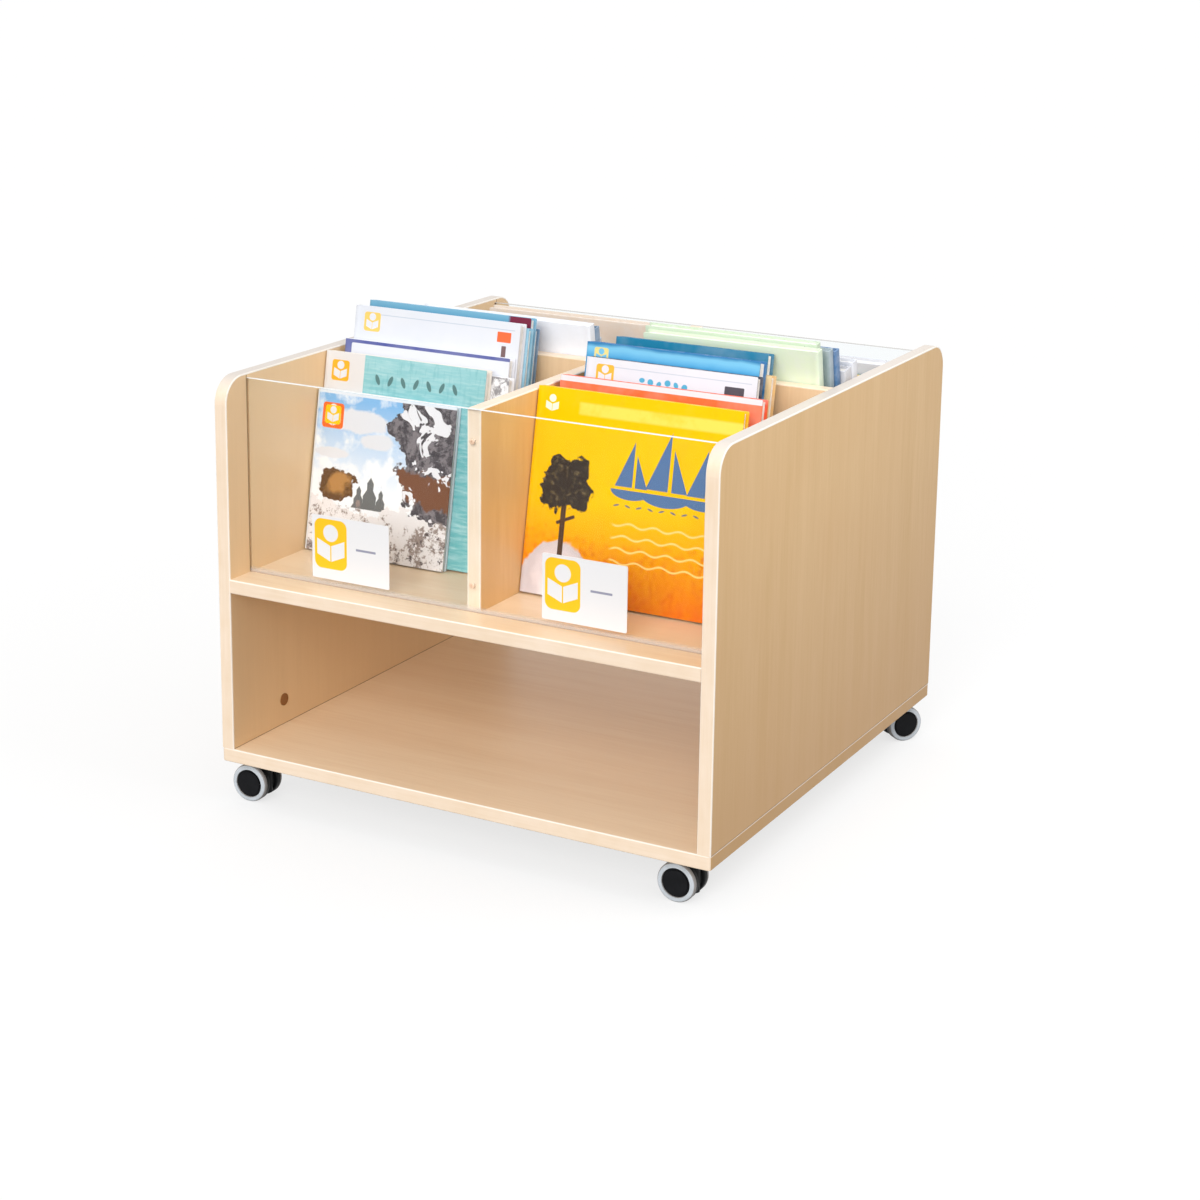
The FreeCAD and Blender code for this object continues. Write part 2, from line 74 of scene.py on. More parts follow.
def linear(tone: str) -> tuple[float, ...]:
    """The linear red, green, blue and alpha that a shader takes for a colour."""
    shares = [int(tone[start:start + 2], 16) / 255 for start in (0, 2, 4)]
    return (*(s / 12.92 if s <= 0.04045 else ((s + 0.055) / 1.055) ** 2.4 for s in shares), 1.0)


# ---- node trees ---------------------------------------------------------------------------------


@dataclass(frozen=True)
class Term:
    """A value in a node tree. A sum over it adds Math nodes to that tree."""

    nodes: "Nodes"
    socket: Socket

    def __add__(self, other: object) -> "Term":
        """The sum with a term or a number."""
        return self.nodes.math("ADD", self, other)

    def __sub__(self, other: object) -> "Term":
        """This term less a term or a number."""
        return self.nodes.math("SUBTRACT", self, other)

    def __rsub__(self, other: float) -> "Term":
        """A number less this term."""
        return self.nodes.math("SUBTRACT", other, self)

    def __mul__(self, other: object) -> "Term":
        """The product with a term or a number."""
        return self.nodes.math("MULTIPLY", self, other)

    def __truediv__(self, other: object) -> "Term":
        """This term divided by a term or a number."""
        return self.nodes.math("DIVIDE", self, other)

    def __abs__(self) -> "Term":
        """This term without its sign."""
        return self.nodes.math("ABSOLUTE", self)


class Nodes:
    """A node tree, built node by node."""

    def __init__(self, tree: bpy.types.NodeTree) -> None:
        """Takes the tree to build in."""
        self.tree = tree

    def out(self, node: Node, output: int | str = 0) -> Term:
        """One of a node's outputs as a term."""
        return Term(self, node.outputs[output])

    def feed(self, target: Socket, value: object) -> None:
        """Links an input to what feeds it, or sets its value.

        Args:
            target: The input.
            value: A term, a node whose first output is meant, a colour or a plain value.
        """
        if isinstance(value, Node):
            value = self.out(value)
        if isinstance(value, Term):
            self.tree.links.new(value.socket, target)
        else:
            target.default_value = linear(value) if isinstance(value, str) else value

    def node(self, kind: str, **values: object) -> Node:
        """Adds a node.

        Args:
            kind: The node's class.
            values: Its properties, and its inputs by their names with underscores for spaces.

        Returns:
            The node.
        """
        made = self.tree.nodes.new(kind)
        for name, value in values.items():
            if hasattr(made, name):
                setattr(made, name, value)
            else:
                self.feed(made.inputs[name.replace("_", " ")], value)
        return made

    def fill(self, made: Node, *values: object) -> Node:
        """Feeds a node's first inputs.

        Args:
            made: The node.
            values: What feeds each input, in order.

        Returns:
            The node.
        """
        for target, value in zip(made.inputs, values):
            self.feed(target, value)
        return made

    def math(self, operation: str, *values: object, clamp: bool = False) -> Term:
        """The result of a Math node, kept from 0 to 1 where asked."""
        made = self.node("ShaderNodeMath", operation=operation, use_clamp=clamp)
        return self.out(self.fill(made, *values))

    def span(self, value: Term, low: float, high: float, to_low: float = 0.0, to_high: float = 1.0) -> Term:
        """A value whose stretch from low to high is mapped to another stretch and clamped there."""
        made = self.node("ShaderNodeMapRange", clamp=True)
        return self.out(self.fill(made, value, low, high, to_low, to_high))

    def seen(self) -> Term:
        """Tells rays that show a surround from those that light by it.

        Returns:
            1 for rays from the camera, off a mirror or through glass, and 0 for the rest.
        """
        paths = self.node("ShaderNodeLightPath")
        total = self.out(paths, "Is Camera Ray")
        for name in ("Is Glossy Ray", "Is Transmission Ray"):
            total = self.math("ADD", total, self.out(paths, name), clamp=True)
        return total


class Graph(Nodes):
    """One material's shader tree."""

    def __init__(self, name: str) -> None:
        """Starts an empty material.

        Args:
            name: The material's name.
        """
        self.material = bpy.data.materials.new(name)
        self.material.use_nodes = True
        super().__init__(self.material.node_tree)
        self.tree.nodes.clear()
        self.output = self.node("ShaderNodeOutputMaterial")

    def place(self, scale: Sequence[float] = (1, 1, 1), turn: Sequence[float] = (0, 0, 0),
              origin: Sequence[float] = (0, 0, 0), inverse: bool = False) -> Term:
        """Object coordinates, scaled, or read in the frame of a turned piece.

        Args:
            scale: Scale along X, Y and Z.
            turn: Rotation in radians.
            origin: The mapping's location.
            inverse: True to read the piece's own frame, with its turn and origin taken off.

        Returns:
            The vector.
        """
        source = self.out(self.node("ShaderNodeTexCoord"), "Object")
        return self.out(self.node("ShaderNodeMapping", vector_type="TEXTURE" if inverse else "POINT",
                                  Vector=source, Scale=scale, Rotation=turn, Location=origin))

    def noise(self, vector: Term, scale: float, detail: float = 2.0, rough: float = 0.5,
              warp: float = 0.0) -> Term:
        """A noise pattern from 0 to 1, with so many ripples to the metre and so many finer layers."""
        return self.out(self.node("ShaderNodeTexNoise", Vector=vector, Scale=scale, Detail=detail,
                                  Roughness=rough, Distortion=warp), "Fac")

    def mix(self, share: Term, low: object, high: object) -> Term:
        """One colour turned into another.

        Args:
            share: 0 for the first colour, 1 for the second.
            low: The first colour.
            high: The second colour.

        Returns:
            The mixed colour.
        """
        made = self.node("ShaderNodeMix", data_type="RGBA", clamp_factor=True, Factor=share)
        self.feed(made.inputs[6], low)
        self.feed(made.inputs[7], high)
        return self.out(made, 2)

    def axes(self, vector: Term) -> list[Term]:
        """The X, Y and Z of a vector."""
        made = self.node("ShaderNodeSeparateXYZ", Vector=vector)
        return [self.out(made, axis) for axis in "XYZ"]

    def blend(self, share: Term, first: object, second: object) -> Node:
        """The first shader mixed with a share of the second."""
        return self.fill(self.node("ShaderNodeMixShader"), share, first, second)

    def close(self, shader: Node) -> Material:
        """Ends the tree with a shader and returns the material."""
        self.feed(self.output.inputs["Surface"], shader)
        return self.material

    def finish(self, colour: object, rough: object, height: Term | None = None, relief: float = 0.0001,
               **fixed: float) -> Material:
        """Closes the tree with a Principled shader.

        Args:
            colour: Base colour, as a term or a value.
            rough: Roughness, as a term or a value.
            height: A pattern that raises the surface, or None.
            relief: How far the pattern raises it, in metres.
            fixed: Other inputs by name, with spaces as underscores, set to plain values.

        Returns:
            The material.
        """
        shader = self.node("ShaderNodeBsdfPrincipled", Base_Color=colour, Roughness=rough, **fixed)
        if height is not None:
            bump = self.node("ShaderNodeBump", Strength=0.6, Distance=relief, Height=height)
            self.feed(shader.inputs["Normal"], bump)
        return self.close(shader)


# ---- finishes -----------------------------------------------------------------------------------


class Grain(Enum):
    """Which way a board's grain runs, as the stretch of its pattern along X, Y and Z."""

    UPRIGHT = (1.0, 1.0, 0.05)
    ACROSS = (0.05, 1.0, 1.0)


@dataclass(frozen=True)
class JointShadow:
    """A painted shadow line where boards meet: the axis that crosses it, its limits along that axis, whether
    it shows on the inner faces alone, and the height where it starts."""

    axis: int
    low: float
    high: float
    inside: bool = True
    above: float = 0.0


@dataclass(frozen=True)
class Laminate:
    """Beech-pattern laminate on board: fine streaks, soft bands and warm clouds; on the side panels also
    painted light inside, painted shade low outside and painted shadow lines at the joints.
    """

    name: str
    grain: Grain
    pale: Colour = "e3bc86"
    deep: Colour = "dbb37b"
    warm: Colour = "deb47c"
    rough: Point = (0.46, 0.38)
    streaks: float = 230.0
    bands: float = 26.0
    clouds: float = 7.0
    inner_side: float | None = None
    inner_light_tone: Colour = "fcdfba"
    low_shade_tone: Colour = "bc8c56"
    joints: tuple[JointShadow, ...] = ()
    joint_shadow_tone: Colour = "7e5a3a"

    def material(self) -> Material:
        """Makes the board's material.

        Returns:
            The material.
        """
        g = Graph(self.name)
        along = g.place(scale=self.grain.value)
        streak = g.noise(along, self.streaks, 3.0, 0.6)
        band = g.noise(along, self.bands, 4.0, 0.55, 0.4)
        cloud = g.noise(g.place(), self.clouds, 2.0, 0.5)
        pore = g.noise(along, self.streaks * 2.4, 1.0, 0.5)
        figure = streak * 0.45 + band * 0.55
        colour = g.mix(g.span(figure, 0.36, 0.64), self.deep, self.pale)
        colour = g.mix(g.span(cloud, 0.42, 0.75, 0.0, 0.6), colour, self.warm)
        colour = g.mix(g.span(pore, 0.66, 0.8, 0.0, 0.14), colour, self.deep)
        if self.inner_side is not None:
            colour = self.side_tones(g, colour, self.inner_side)
        return g.finish(colour, g.span(figure, 0.3, 0.7, *self.rough), streak, 0.00003,
                        Specular_IOR_Level=0.5)

    def side_tones(self, g: Graph, colour: Term, inner_side: float) -> Term:
        """Paints light on the inner faces of the side panels as a paler tone, paints shade on the outer ones
        as a deeper tone towards the bottom, and draws painted shadow lines at the joints.

        Args:
            g: The material's tree.
            colour: The laminate's colour.
            inner_side: How far from the middle the panels' inner faces end.

        Returns:
            The colour with these laid on.
        """
        spots = [abs(axis) for axis in g.axes(g.place())]
        inside = g.span(spots[0], inner_side, inner_side + 0.001, 1.0, 0.0)
        # Painted light: the inner faces are made paler.
        colour = g.mix(inside * 0.45, colour, self.inner_light_tone)
        # Painted shade: the outer faces darken towards the bottom.
        colour = g.mix(g.span(spots[2], 0.10, 0.45, 0.5, 0.0) * (1.0 - inside), colour, self.low_shade_tone)
        for joint in self.joints:
            # Painted shadow: a dark line in the gap where boards meet.
            half = (joint.high - joint.low) / 2
            line = g.span(abs(spots[joint.axis] - (joint.low + half)), half, half + 0.0004, 0.75, 0.0)
            line = line * inside if joint.inside else line
            line = line * g.math("GREATER_THAN", spots[2], joint.above) if joint.above else line
            colour = g.mix(line, colour, self.joint_shadow_tone)
        return colour


@dataclass(frozen=True)
class EdgeBand:
    """Pale maple edge banding, with a painted highlight along each arris, painted shade on a board's outer
    ends, and cooler on top.
    """

    name: str
    grain: Grain
    highlit_edges: tuple[tuple[int, float], ...] = ()
    side_face: float | None = None
    crest: float | None = None
    tone: Colour = "fae5ce"
    shade: Colour = "f3dbbf"
    bright: Colour = "fff9f0"
    end_shade_tone: Colour = "c5985c"
    crest_tone: Colour = "d8cec4"

    def material(self) -> Material:
        """Makes the banding's material.

        Returns:
            The material.
        """
        g = Graph(self.name)
        streak = g.noise(g.place(scale=self.grain.value), 260.0, 3.0, 0.6)
        mottle = g.noise(g.place(), 30.0, 2.0, 0.5)
        colour = g.mix(g.span(streak * 0.5 + mottle * 0.5, 0.35, 0.65), self.shade, self.tone)
        spots = [abs(axis) for axis in g.axes(g.place())]
        if self.side_face is not None:
            # Painted shade: the board's outer end faces take a deeper tan.
            outer = g.span(spots[0], self.side_face - 0.0006, self.side_face - 0.0002)
            colour = g.mix(outer, colour, self.end_shade_tone)
        if self.crest is not None:
            colour = g.mix(g.span(spots[2], self.crest - 0.020, self.crest - 0.002), colour, self.crest_tone)
        # Painted highlight: a near-white line along each arris.
        for axis, edge in self.highlit_edges:
            colour = g.mix(g.span(abs(spots[axis] - edge), 0.0007, 0.0016, 0.7, 0.0), colour, self.bright)
        return g.finish(colour, g.span(mottle, 0.3, 0.7, 0.34, 0.42), streak, 0.00004)


@dataclass(frozen=True)
class Plastic:
    """Moulded plastic or rubber with a fine grained skin."""

    name: str
    tone: Colour
    worn: Colour
    rough: Point = (0.42, 0.56)
    skin: float = 1400.0
    relief: float = 0.00002
    gloss: float = 0.25

    def material(self) -> Material:
        """Makes the moulding's material.

        Returns:
            The material.
        """
        g = Graph(self.name)
        cloud = g.noise(g.place(), 60.0, 3.0, 0.6)
        skin = g.noise(g.place(), self.skin, 2.0, 0.5)
        colour = g.mix(g.span(cloud, 0.45, 0.75), self.tone, self.worn)
        return g.finish(colour, g.span(cloud, 0.3, 0.7, *self.rough), skin, self.relief,
                        Specular_IOR_Level=self.gloss)


@dataclass(frozen=True)
class Steel:
    """Zinc-plated or turned steel with fine drawn lines."""

    name: str
    tone: Colour = "c8c8c4"
    dull: Colour = "9e9e9a"

    def material(self) -> Material:
        """Makes the steel's material.

        Returns:
            The material.
        """
        g = Graph(self.name)
        lines = g.noise(g.place(scale=(1.0, 1.0, 0.08)), 900.0, 3.0, 0.6)
        cloud = g.noise(g.place(), 90.0, 2.0, 0.5)
        colour = g.mix(g.span(cloud, 0.35, 0.7), self.tone, self.dull)
        return g.finish(colour, g.span(lines, 0.3, 0.7, 0.28, 0.46), lines, 0.00002, Metallic=1.0)


@dataclass(frozen=True)
class ClearAcrylic:
    """Clear acrylic sheet, which lets the lamps through and has painted shade, a grey band over a dark line,
    where it stands on the shelf.
    """

    name: str
    foot: float
    tint: Colour = "fafdfe"
    bend: float = 1.15
    passing: float = 0.96
    foot_shade_tone: Colour = "cec8c4"
    foot_shadow_tone: Colour = "b2a092"

    def material(self) -> Material:
        """Makes the sheet's material.

        Returns:
            The material.
        """
        g = Graph(self.name)
        smear = g.noise(g.place(), 14.0, 3.0, 0.6)
        body = g.node("ShaderNodeBsdfPrincipled", Base_Color=self.tint, IOR=self.bend,
                      Roughness=g.span(smear, 0.45, 0.8, 0.0, 0.03), Specular_IOR_Level=0.08,
                      Transmission_Weight=1.0)
        # Painted shade: a grey diffuse band with a darker shadow line along the foot, where the sheet stands
        # in the shelf's groove.
        height = g.axes(g.place())[2] - self.foot
        line = g.span(height, 0.0006, 0.0014, 1.0, 0.0)
        rest = g.node("ShaderNodeBsdfDiffuse", Color=g.mix(line, self.foot_shade_tone, self.foot_shadow_tone))
        sheet = g.blend(g.span(height, 0.0006, 0.0075, 0.55, 0.0), body, rest)
        path = g.node("ShaderNodeLightPath")
        lighting = g.math("MAXIMUM", g.out(path, "Is Shadow Ray"), g.out(path, "Is Diffuse Ray"))
        return g.close(g.blend(lighting * self.passing, sheet, g.node("ShaderNodeBsdfTransparent")))


@dataclass(frozen=True)
class PolishedEdge:
    """The cut and polished edge of acrylic, which gathers light."""

    name: str
    tone: Colour = "f6f6f4"
    shade: Colour = "d6dada"

    def material(self) -> Material:
        """Makes the edge's material.

        Returns:
            The material.
        """
        g = Graph(self.name)
        saw = g.noise(g.place(scale=(1.0, 1.0, 0.2)), 420.0, 3.0, 0.6)
        colour = g.mix(g.span(saw, 0.35, 0.75), self.tone, self.shade)
        return g.finish(colour, g.span(saw, 0.3, 0.7, 0.12, 0.24), saw, 0.00003)


# ---- flat prints --------------------------------------------------------------------------------


class Print(Graph):
    """A design laid on a flat face, layer on layer, in metres from the face's lower left corner."""

    def __init__(self, name: str, origin: Sequence[float], turn: Sequence[float], ground: Colour) -> None:
        """Starts the design with its ground colour.

        Args:
            name: The material's name.
            origin: The face's lower left corner, in the row frame.
            turn: The face's rotation in radians.
            ground: The colour under every layer.
        """
        super().__init__(name)
        self.own = self.place(turn=turn, origin=origin, inverse=True)
        self.across, self.depth, self.up = self.axes(self.own)
        self.colour: object = ground

    def lay(self, mask: Term, colour: object) -> None:
        """Lays a colour where a mask is 1."""
        self.colour = self.mix(mask, self.colour, colour)

    def wash(self, scale: float, low: float, high: float, share: float) -> Term:
        """A soft cloudy mask of up to a share."""
        return self.span(self.noise(self.own, scale, 3.0, 0.6), low, high, 0.0, share)

    def ragging(self, scale: float, depth: float) -> Term:
        """How far a ragged rim is moved in or out."""
        return (self.noise(self.own, scale, 4.0, 0.6) - 0.5) * depth

    def offset(self, centre: Point, turn: float = 0.0) -> tuple[Term, Term]:
        """Places measured from a centre.

        Args:
            centre: The centre.
            turn: The angle of the axes, in degrees.

        Returns:
            How far along and how far up.
        """
        du, dv = self.across - centre[0], self.up - centre[1]
        if not turn:
            return du, dv
        c, s = math.cos(math.radians(turn)), math.sin(math.radians(turn))
        return du * c + dv * s, dv * c - du * s

    def reach(self, along: Term, over: Term) -> Term:
        """The length of a step."""
        return self.math("SQRT", along * along + over * over)

    def panel(self, low: Point, high: Point, corner: float = 0.0, soft: float = 0.0004,
              turn: float = 0.0) -> Term:
        """A mask of a rectangle with rounded corners.

        Args:
            low: Its lower left corner.
            high: Its upper right corner.
            corner: The corners' radius.
            soft: How far its rim fades.
            turn: Its turn in degrees.

        Returns:
            The mask.
        """
        centre = ((low[0] + high[0]) / 2, (low[1] + high[1]) / 2)
        half = ((high[0] - low[0]) / 2 - corner, (high[1] - low[1]) / 2 - corner)
        gaps = [self.math("MAXIMUM", abs(d) - h, 0.0) for d, h in zip(self.offset(centre, turn), half)]
        return self.span(self.reach(*gaps), corner, corner + soft, 1.0, 0.0)

    def oval(self, centre: Point, radii: Point, turn: float = 0.0, soft: float = 0.04,
             ragged: float = 0.0, grain: float = 60.0) -> Term:
        """A mask of an ellipse.

        Args:
            centre: Its centre.
            radii: Its half width and half height.
            turn: Its turn in degrees.
            soft: How far its rim fades, as a share of its radius.
            ragged: How ragged its rim is.
            grain: How fine the raggedness is.

        Returns:
            The mask.
        """
        reach = self.reach(*[d / r for d, r in zip(self.offset(centre, turn), radii)])
        reach = reach + self.ragging(grain, ragged) if ragged else reach
        return self.span(reach, 1 - soft, 1 + soft, 1.0, 0.0)

    def hill(self, height: float, swell: float, length: float, phase: float = 0.0,
             ragged: float = 0.0) -> Term:
        """A mask of all that lies under a rolling line.

        Args:
            height: The line's middle height.
            swell: How far it rises and falls.
            length: The length of one wave.
            phase: Where in its wave the line starts, in radians.
            ragged: How ragged it is.

        Returns:
            The mask.
        """
        line = self.math("SINE", self.across * (2 * math.pi / length) + phase) * swell
        line = line + self.ragging(70.0, ragged) if ragged else line
        return self.span(self.up - height - line, -0.0006, 0.0006, 1.0, 0.0)

    def conifer(self, foot: Point, height: float, half: float) -> Term:
        """A mask of a pointed tree in tiers.

        Args:
            foot: The middle of its foot.
            height: Its height.
            half: Half its width at the foot.

        Returns:
            The mask.
        """
        du, dv = self.offset(foot)
        slope = (height - dv) * (half / height)
        tiers = self.math("PINGPONG", dv, height / 6) * 0.35
        return self.span(slope - tiers - abs(du), -0.0004, 0.0004) * self.span(dv, -0.0004, 0.0004)

    def sail(self, foot: Point, reach: float, height: float) -> Term:
        """A mask of a sail: a right-angled triangle whose foot runs to one side of its mast.

        Args:
            foot: The foot of the mast.
            reach: How far the sail's foot runs, less than 0 to the left.
            height: The sail's height.

        Returns:
            The mask.
        """
        du, dv = self.offset(foot)
        along, rise = du * (1 / reach), dv * (1 / height)
        inside = self.math("MINIMUM", self.math("MINIMUM", along, rise), 1.0 - along - rise)
        return self.span(inside, 0.0, 0.02)

    def boat(self, foot: Point, size: float) -> Term:
        """A mask of a small boat: hull, mainsail and jib.

        Args:
            foot: The middle of the hull's upper edge.
            size: The mainsail's height.

        Returns:
            The mask.
        """
        x, y = foot
        hull = self.oval(foot, (size * 0.46, size * 0.20), 0, 0.02) * self.panel(
            (x - size, y - size), (x + size, y))
        main = self.sail((x + size * 0.04, y + size * 0.06), -size * 0.42, size)
        jib = self.sail((x + size * 0.10, y + size * 0.06), size * 0.30, size * 0.72)
        return self.math("MAXIMUM", hull, self.math("MAXIMUM", main, jib))

    def reader(self, centre: Point, size: float) -> Term:
        """A mask of a plain pictogram: a round head over an open book.

        Args:
            centre: Its middle.
            size: Its height.

        Returns:
            The mask.
        """
        head = self.oval((centre[0], centre[1] + size * 0.26), (size * 0.2, size * 0.2))
        du, dv = self.offset(centre)
        side, edge = abs(du), 0.0003
        lift = dv - side * 0.42
        book = (self.span(lift, -size * 0.42, -size * 0.42 + edge)
                * self.span(lift, -size * 0.05, -size * 0.05 + edge, 1.0, 0.0)
                * self.span(side, size * 0.37, size * 0.37 + edge, 1.0, 0.0))
        fold = self.span(side, size * 0.012, size * 0.02)
        return self.math("MAXIMUM", head, book * fold)

    def sticker(self, centre: Point, size: float, ground: Colour, figure: Colour) -> None:
        """Lays a rounded square with the reader pictogram.

        Args:
            centre: Its middle.
            size: Its side.
            ground: The square's colour.
            figure: The pictogram's colour.
        """
        half = size / 2
        low, high = ((centre[0] + s * half, centre[1] + s * half) for s in (-1, 1))
        self.lay(self.panel(low, high, size * 0.14), ground)
        self.lay(self.reader(centre, size), figure)


WHITE = "e0e2e8"
SIGN_YELLOW = "ffc80c"
CARD_WHITE = "ececee"


@dataclass(frozen=True)
class LabelPrint:
    """A white label card: a yellow square with a pictogram, and a short grey rule beside it."""

    name: str
    corner: Place
    square: tuple[Point, Point] = ((0.004, 0.014), (0.052, 0.078))
    round: float = 0.010
    rule: tuple[Point, Point] = ((0.066, 0.043), (0.095, 0.0455))

    def material(self) -> Material:
        """Makes the card's material.

        Returns:
            The material.
        """
        p = Print(self.name, self.corner, (0, 0, 0), CARD_WHITE)
        low, high = self.square
        p.lay(p.panel(low, high, self.round), SIGN_YELLOW)
        middle = ((low[0] + high[0]) / 2, (low[1] + high[1]) / 2)
        p.lay(p.reader(middle, (high[1] - low[1]) * 0.86), CARD_WHITE)
        p.lay(p.panel(*self.rule, 0.0004), "9698ac")
        fibre = p.noise(p.own, 900.0, 2.0, 0.5)
        p.lay(p.span(fibre, 0.3, 0.7, 0.0, 0.05), "cdd0d7")
        return p.finish(p.colour, p.span(fibre, 0.3, 0.7, 0.42, 0.5), fibre, 0.00003,
                        Specular_IOR_Level=0.15)


# ---- covers -------------------------------------------------------------------------------------

BLEED = 0.01  # how far a layer runs past the edges of a cover, in metres


class Cover(Print):
    """The print of one book's covers, laid out from its lower left corner."""

    def __init__(self, book: "Book", origin: Sequence[float], turn: Sequence[float]) -> None:
        """Starts the covers of a book that stands with this corner and turn in the row frame."""
        super().__init__(book.name + "_cover", origin, turn, book.back)
        self.book, self.w, self.h = book, book.width, book.height

    def blot(self, centre: Point, radii: Point, *rim: float) -> Term:
        """An oval placed and sized by shares of the cover's width and height."""
        places = [(self.w * across, self.h * up) for across, up in (centre, radii)]
        return self.oval(*places, *rim)

    def block(self, low: Point, high: Point, *rim: float) -> Term:
        """A panel placed by shares of the cover's width and height."""
        places = [(self.w * across, self.h * up) for across, up in (low, high)]
        return self.panel(*places, *rim)

    def badge(self, across: float, down: float, size: float, tone: Colour, figure: Colour = WHITE) -> None:
        """Lays a sticker near the upper left corner, measured from the left edge and the top."""
        self.sticker((across, self.h - down), size, tone, figure)

    def film(self) -> Material:
        """Keeps the design to the front, colours the rest and closes the print with a gloss film.

        Returns:
            The covers' material.
        """
        book, art = self.book, self.colour
        inner, outer = (book.board * share - book.thickness for share in (0.6, 0.5))
        front = self.span(self.depth, outer, inner, 1.0, 0.0)
        scuff = self.noise(self.own, 55.0, 4.0, 0.65)
        self.colour = book.back
        self.lay(self.span(scuff, 0.4, 0.7, 0.0, 0.25), WHITE)
        if book.mark is not None:
            self.lay(self.conifer(book.mark, 0.007, 0.0042), "282824")
        self.lay(front, art)
        self.lay(self.span(scuff, 0.5, 0.8, 0.0, 0.012), WHITE)
        return self.finish(self.colour, self.span(scuff, 0.3, 0.7, 0.3, 0.42),
                           self.noise(self.own, 240.0, 2.0, 0.5), 0.00003, Specular_IOR_Level=0.10)


def plain(p: Cover, tone: Colour, second: Colour | None = None, border: float = 0.0) -> None:
    """A plain cover, with an inner panel where asked.

    Args:
        p: The cover.
        tone: Its colour, and the border's where it has a panel.
        second: The inner panel's colour, or None.
        border: The border's width.
    """
    p.colour = p.mix(p.wash(14.0, 0.4, 0.75, 0.22), tone, WHITE)
    if second is not None:
        p.lay(p.panel((border * 2.4, border), (p.w + border, p.h - border), 0.002), second)


def snowy_hills(p: Cover) -> None:
    """Pale sky over drifts of snow, brown rocks and a dark cliff on the right.

    Args:
        p: The cover.
    """
    w, h = p.w, p.h
    p.colour = p.mix(p.span(p.up, h * 0.40, h * 0.95), "f0f4f9", "84b8e6")
    p.lay(p.span(p.noise(p.own, 24.0, 4.0, 0.6), 0.48, 0.62, 0.0, 0.9), "fafafa")
    for centre, radii in (((0.32, 0.83), (0.22, 0.07)), ((0.46, 0.72), (0.12, 0.05)),
                          ((0.14, 0.62), (0.12, 0.03))):
        p.lay(p.oval((w * centre[0], h * centre[1]), (w * radii[0], w * radii[1]), 0, 0.1, 0.9), WHITE)
    rock = p.noise(p.own, 75.0, 5.0, 0.75)
    cliff = p.blot((0.98, 0.60), (0.36, 0.62), 10, 0.02, 1.6, 26.0)
    p.lay(cliff, p.mix(p.span(rock, 0.46, 0.56), "4c484c", "807a7e"))
    p.lay(cliff * p.blot((0.86, 0.48), (0.30, 0.10), -4, 0.1, 2.0), "78503a")
    p.lay(cliff * p.span(p.noise(p.own, 30.0, 3.0, 0.6, 0.8), 0.585, 0.60), "e8e8ec")
    p.lay(p.blot((0.20, 0.42), (0.13, 0.10), 12, 0.04, 2.0, 40.0), "684a2e")
    p.lay(p.blot((0.21, 0.44), (0.08, 0.06), 20, 0.3, 3.0), "b4844c")
    for foot, size in ((0.36, 0.036), (0.44, 0.052), (0.52, 0.034)):
        p.lay(p.conifer((w * foot, h * 0.30), size, size * 0.30), "6e7070")
    p.lay(p.hill(h * 0.30, 0.008, 0.13, 0.6, 0.05), "e8e5e6")
    scree = p.span(p.noise(p.own, 48.0, 5.0, 0.8), 0.5, 0.57)
    p.lay(p.hill(h * 0.28, 0.01, 0.2, 0.0, 0.05) * scree, "968882")
    p.lay(p.hill(h * 0.16, 0.01, 0.1, 2.0, 0.05) * p.span(rock, 0.54, 0.6), "605656")
    p.lay(p.block((0, 0), (0.012, 1)), "e2e6ec")
    p.lay(p.block((0, 0.985), (1, 1)), "e2e8f0")
    p.badge(w * 0.125, 0.032, 0.033, "f5702c")
    p.badge(w * 0.125, 0.031, 0.024, SIGN_YELLOW)


def woven_teal(p: Cover) -> None:
    """A teal ground brushed like linen and paler towards the top as a painted highlight, with a cream strip
    at the spine and a row of small leaves.

    Args:
        p: The cover.
    """
    w, h = p.w, p.h
    brush = p.noise(p.place(scale=(0.12, 1.0, 1.0)), 260.0, 3.0, 0.6)
    cross = p.noise(p.place(scale=(1.0, 1.0, 0.12)), 200.0, 3.0, 0.6)
    # Painted highlight: the teal ground pales towards the top.
    ground = p.mix(p.span(p.up, h * 0.6, h), "6eb6ba", "96cace")
    p.colour = p.mix(p.span(brush, 0.42, 0.7, 0.0, 0.75), ground, "b2d8da")
    p.lay(p.span(cross, 0.52, 0.72, 0.0, 0.4), "60acb4")
    p.lay(p.panel((-BLEED, -BLEED), (w * 0.25, h + BLEED)), "e0dddb")
    for leaf in range(7):
        middle = (w * (0.34 + 0.08 * leaf), h - 0.030)
        p.lay(p.oval(middle, (0.0030, 0.0072), 24 * (-1) ** leaf, 0.1), "5c8080")
    p.badge(w * 0.10, 0.024, 0.027, "f2b232")


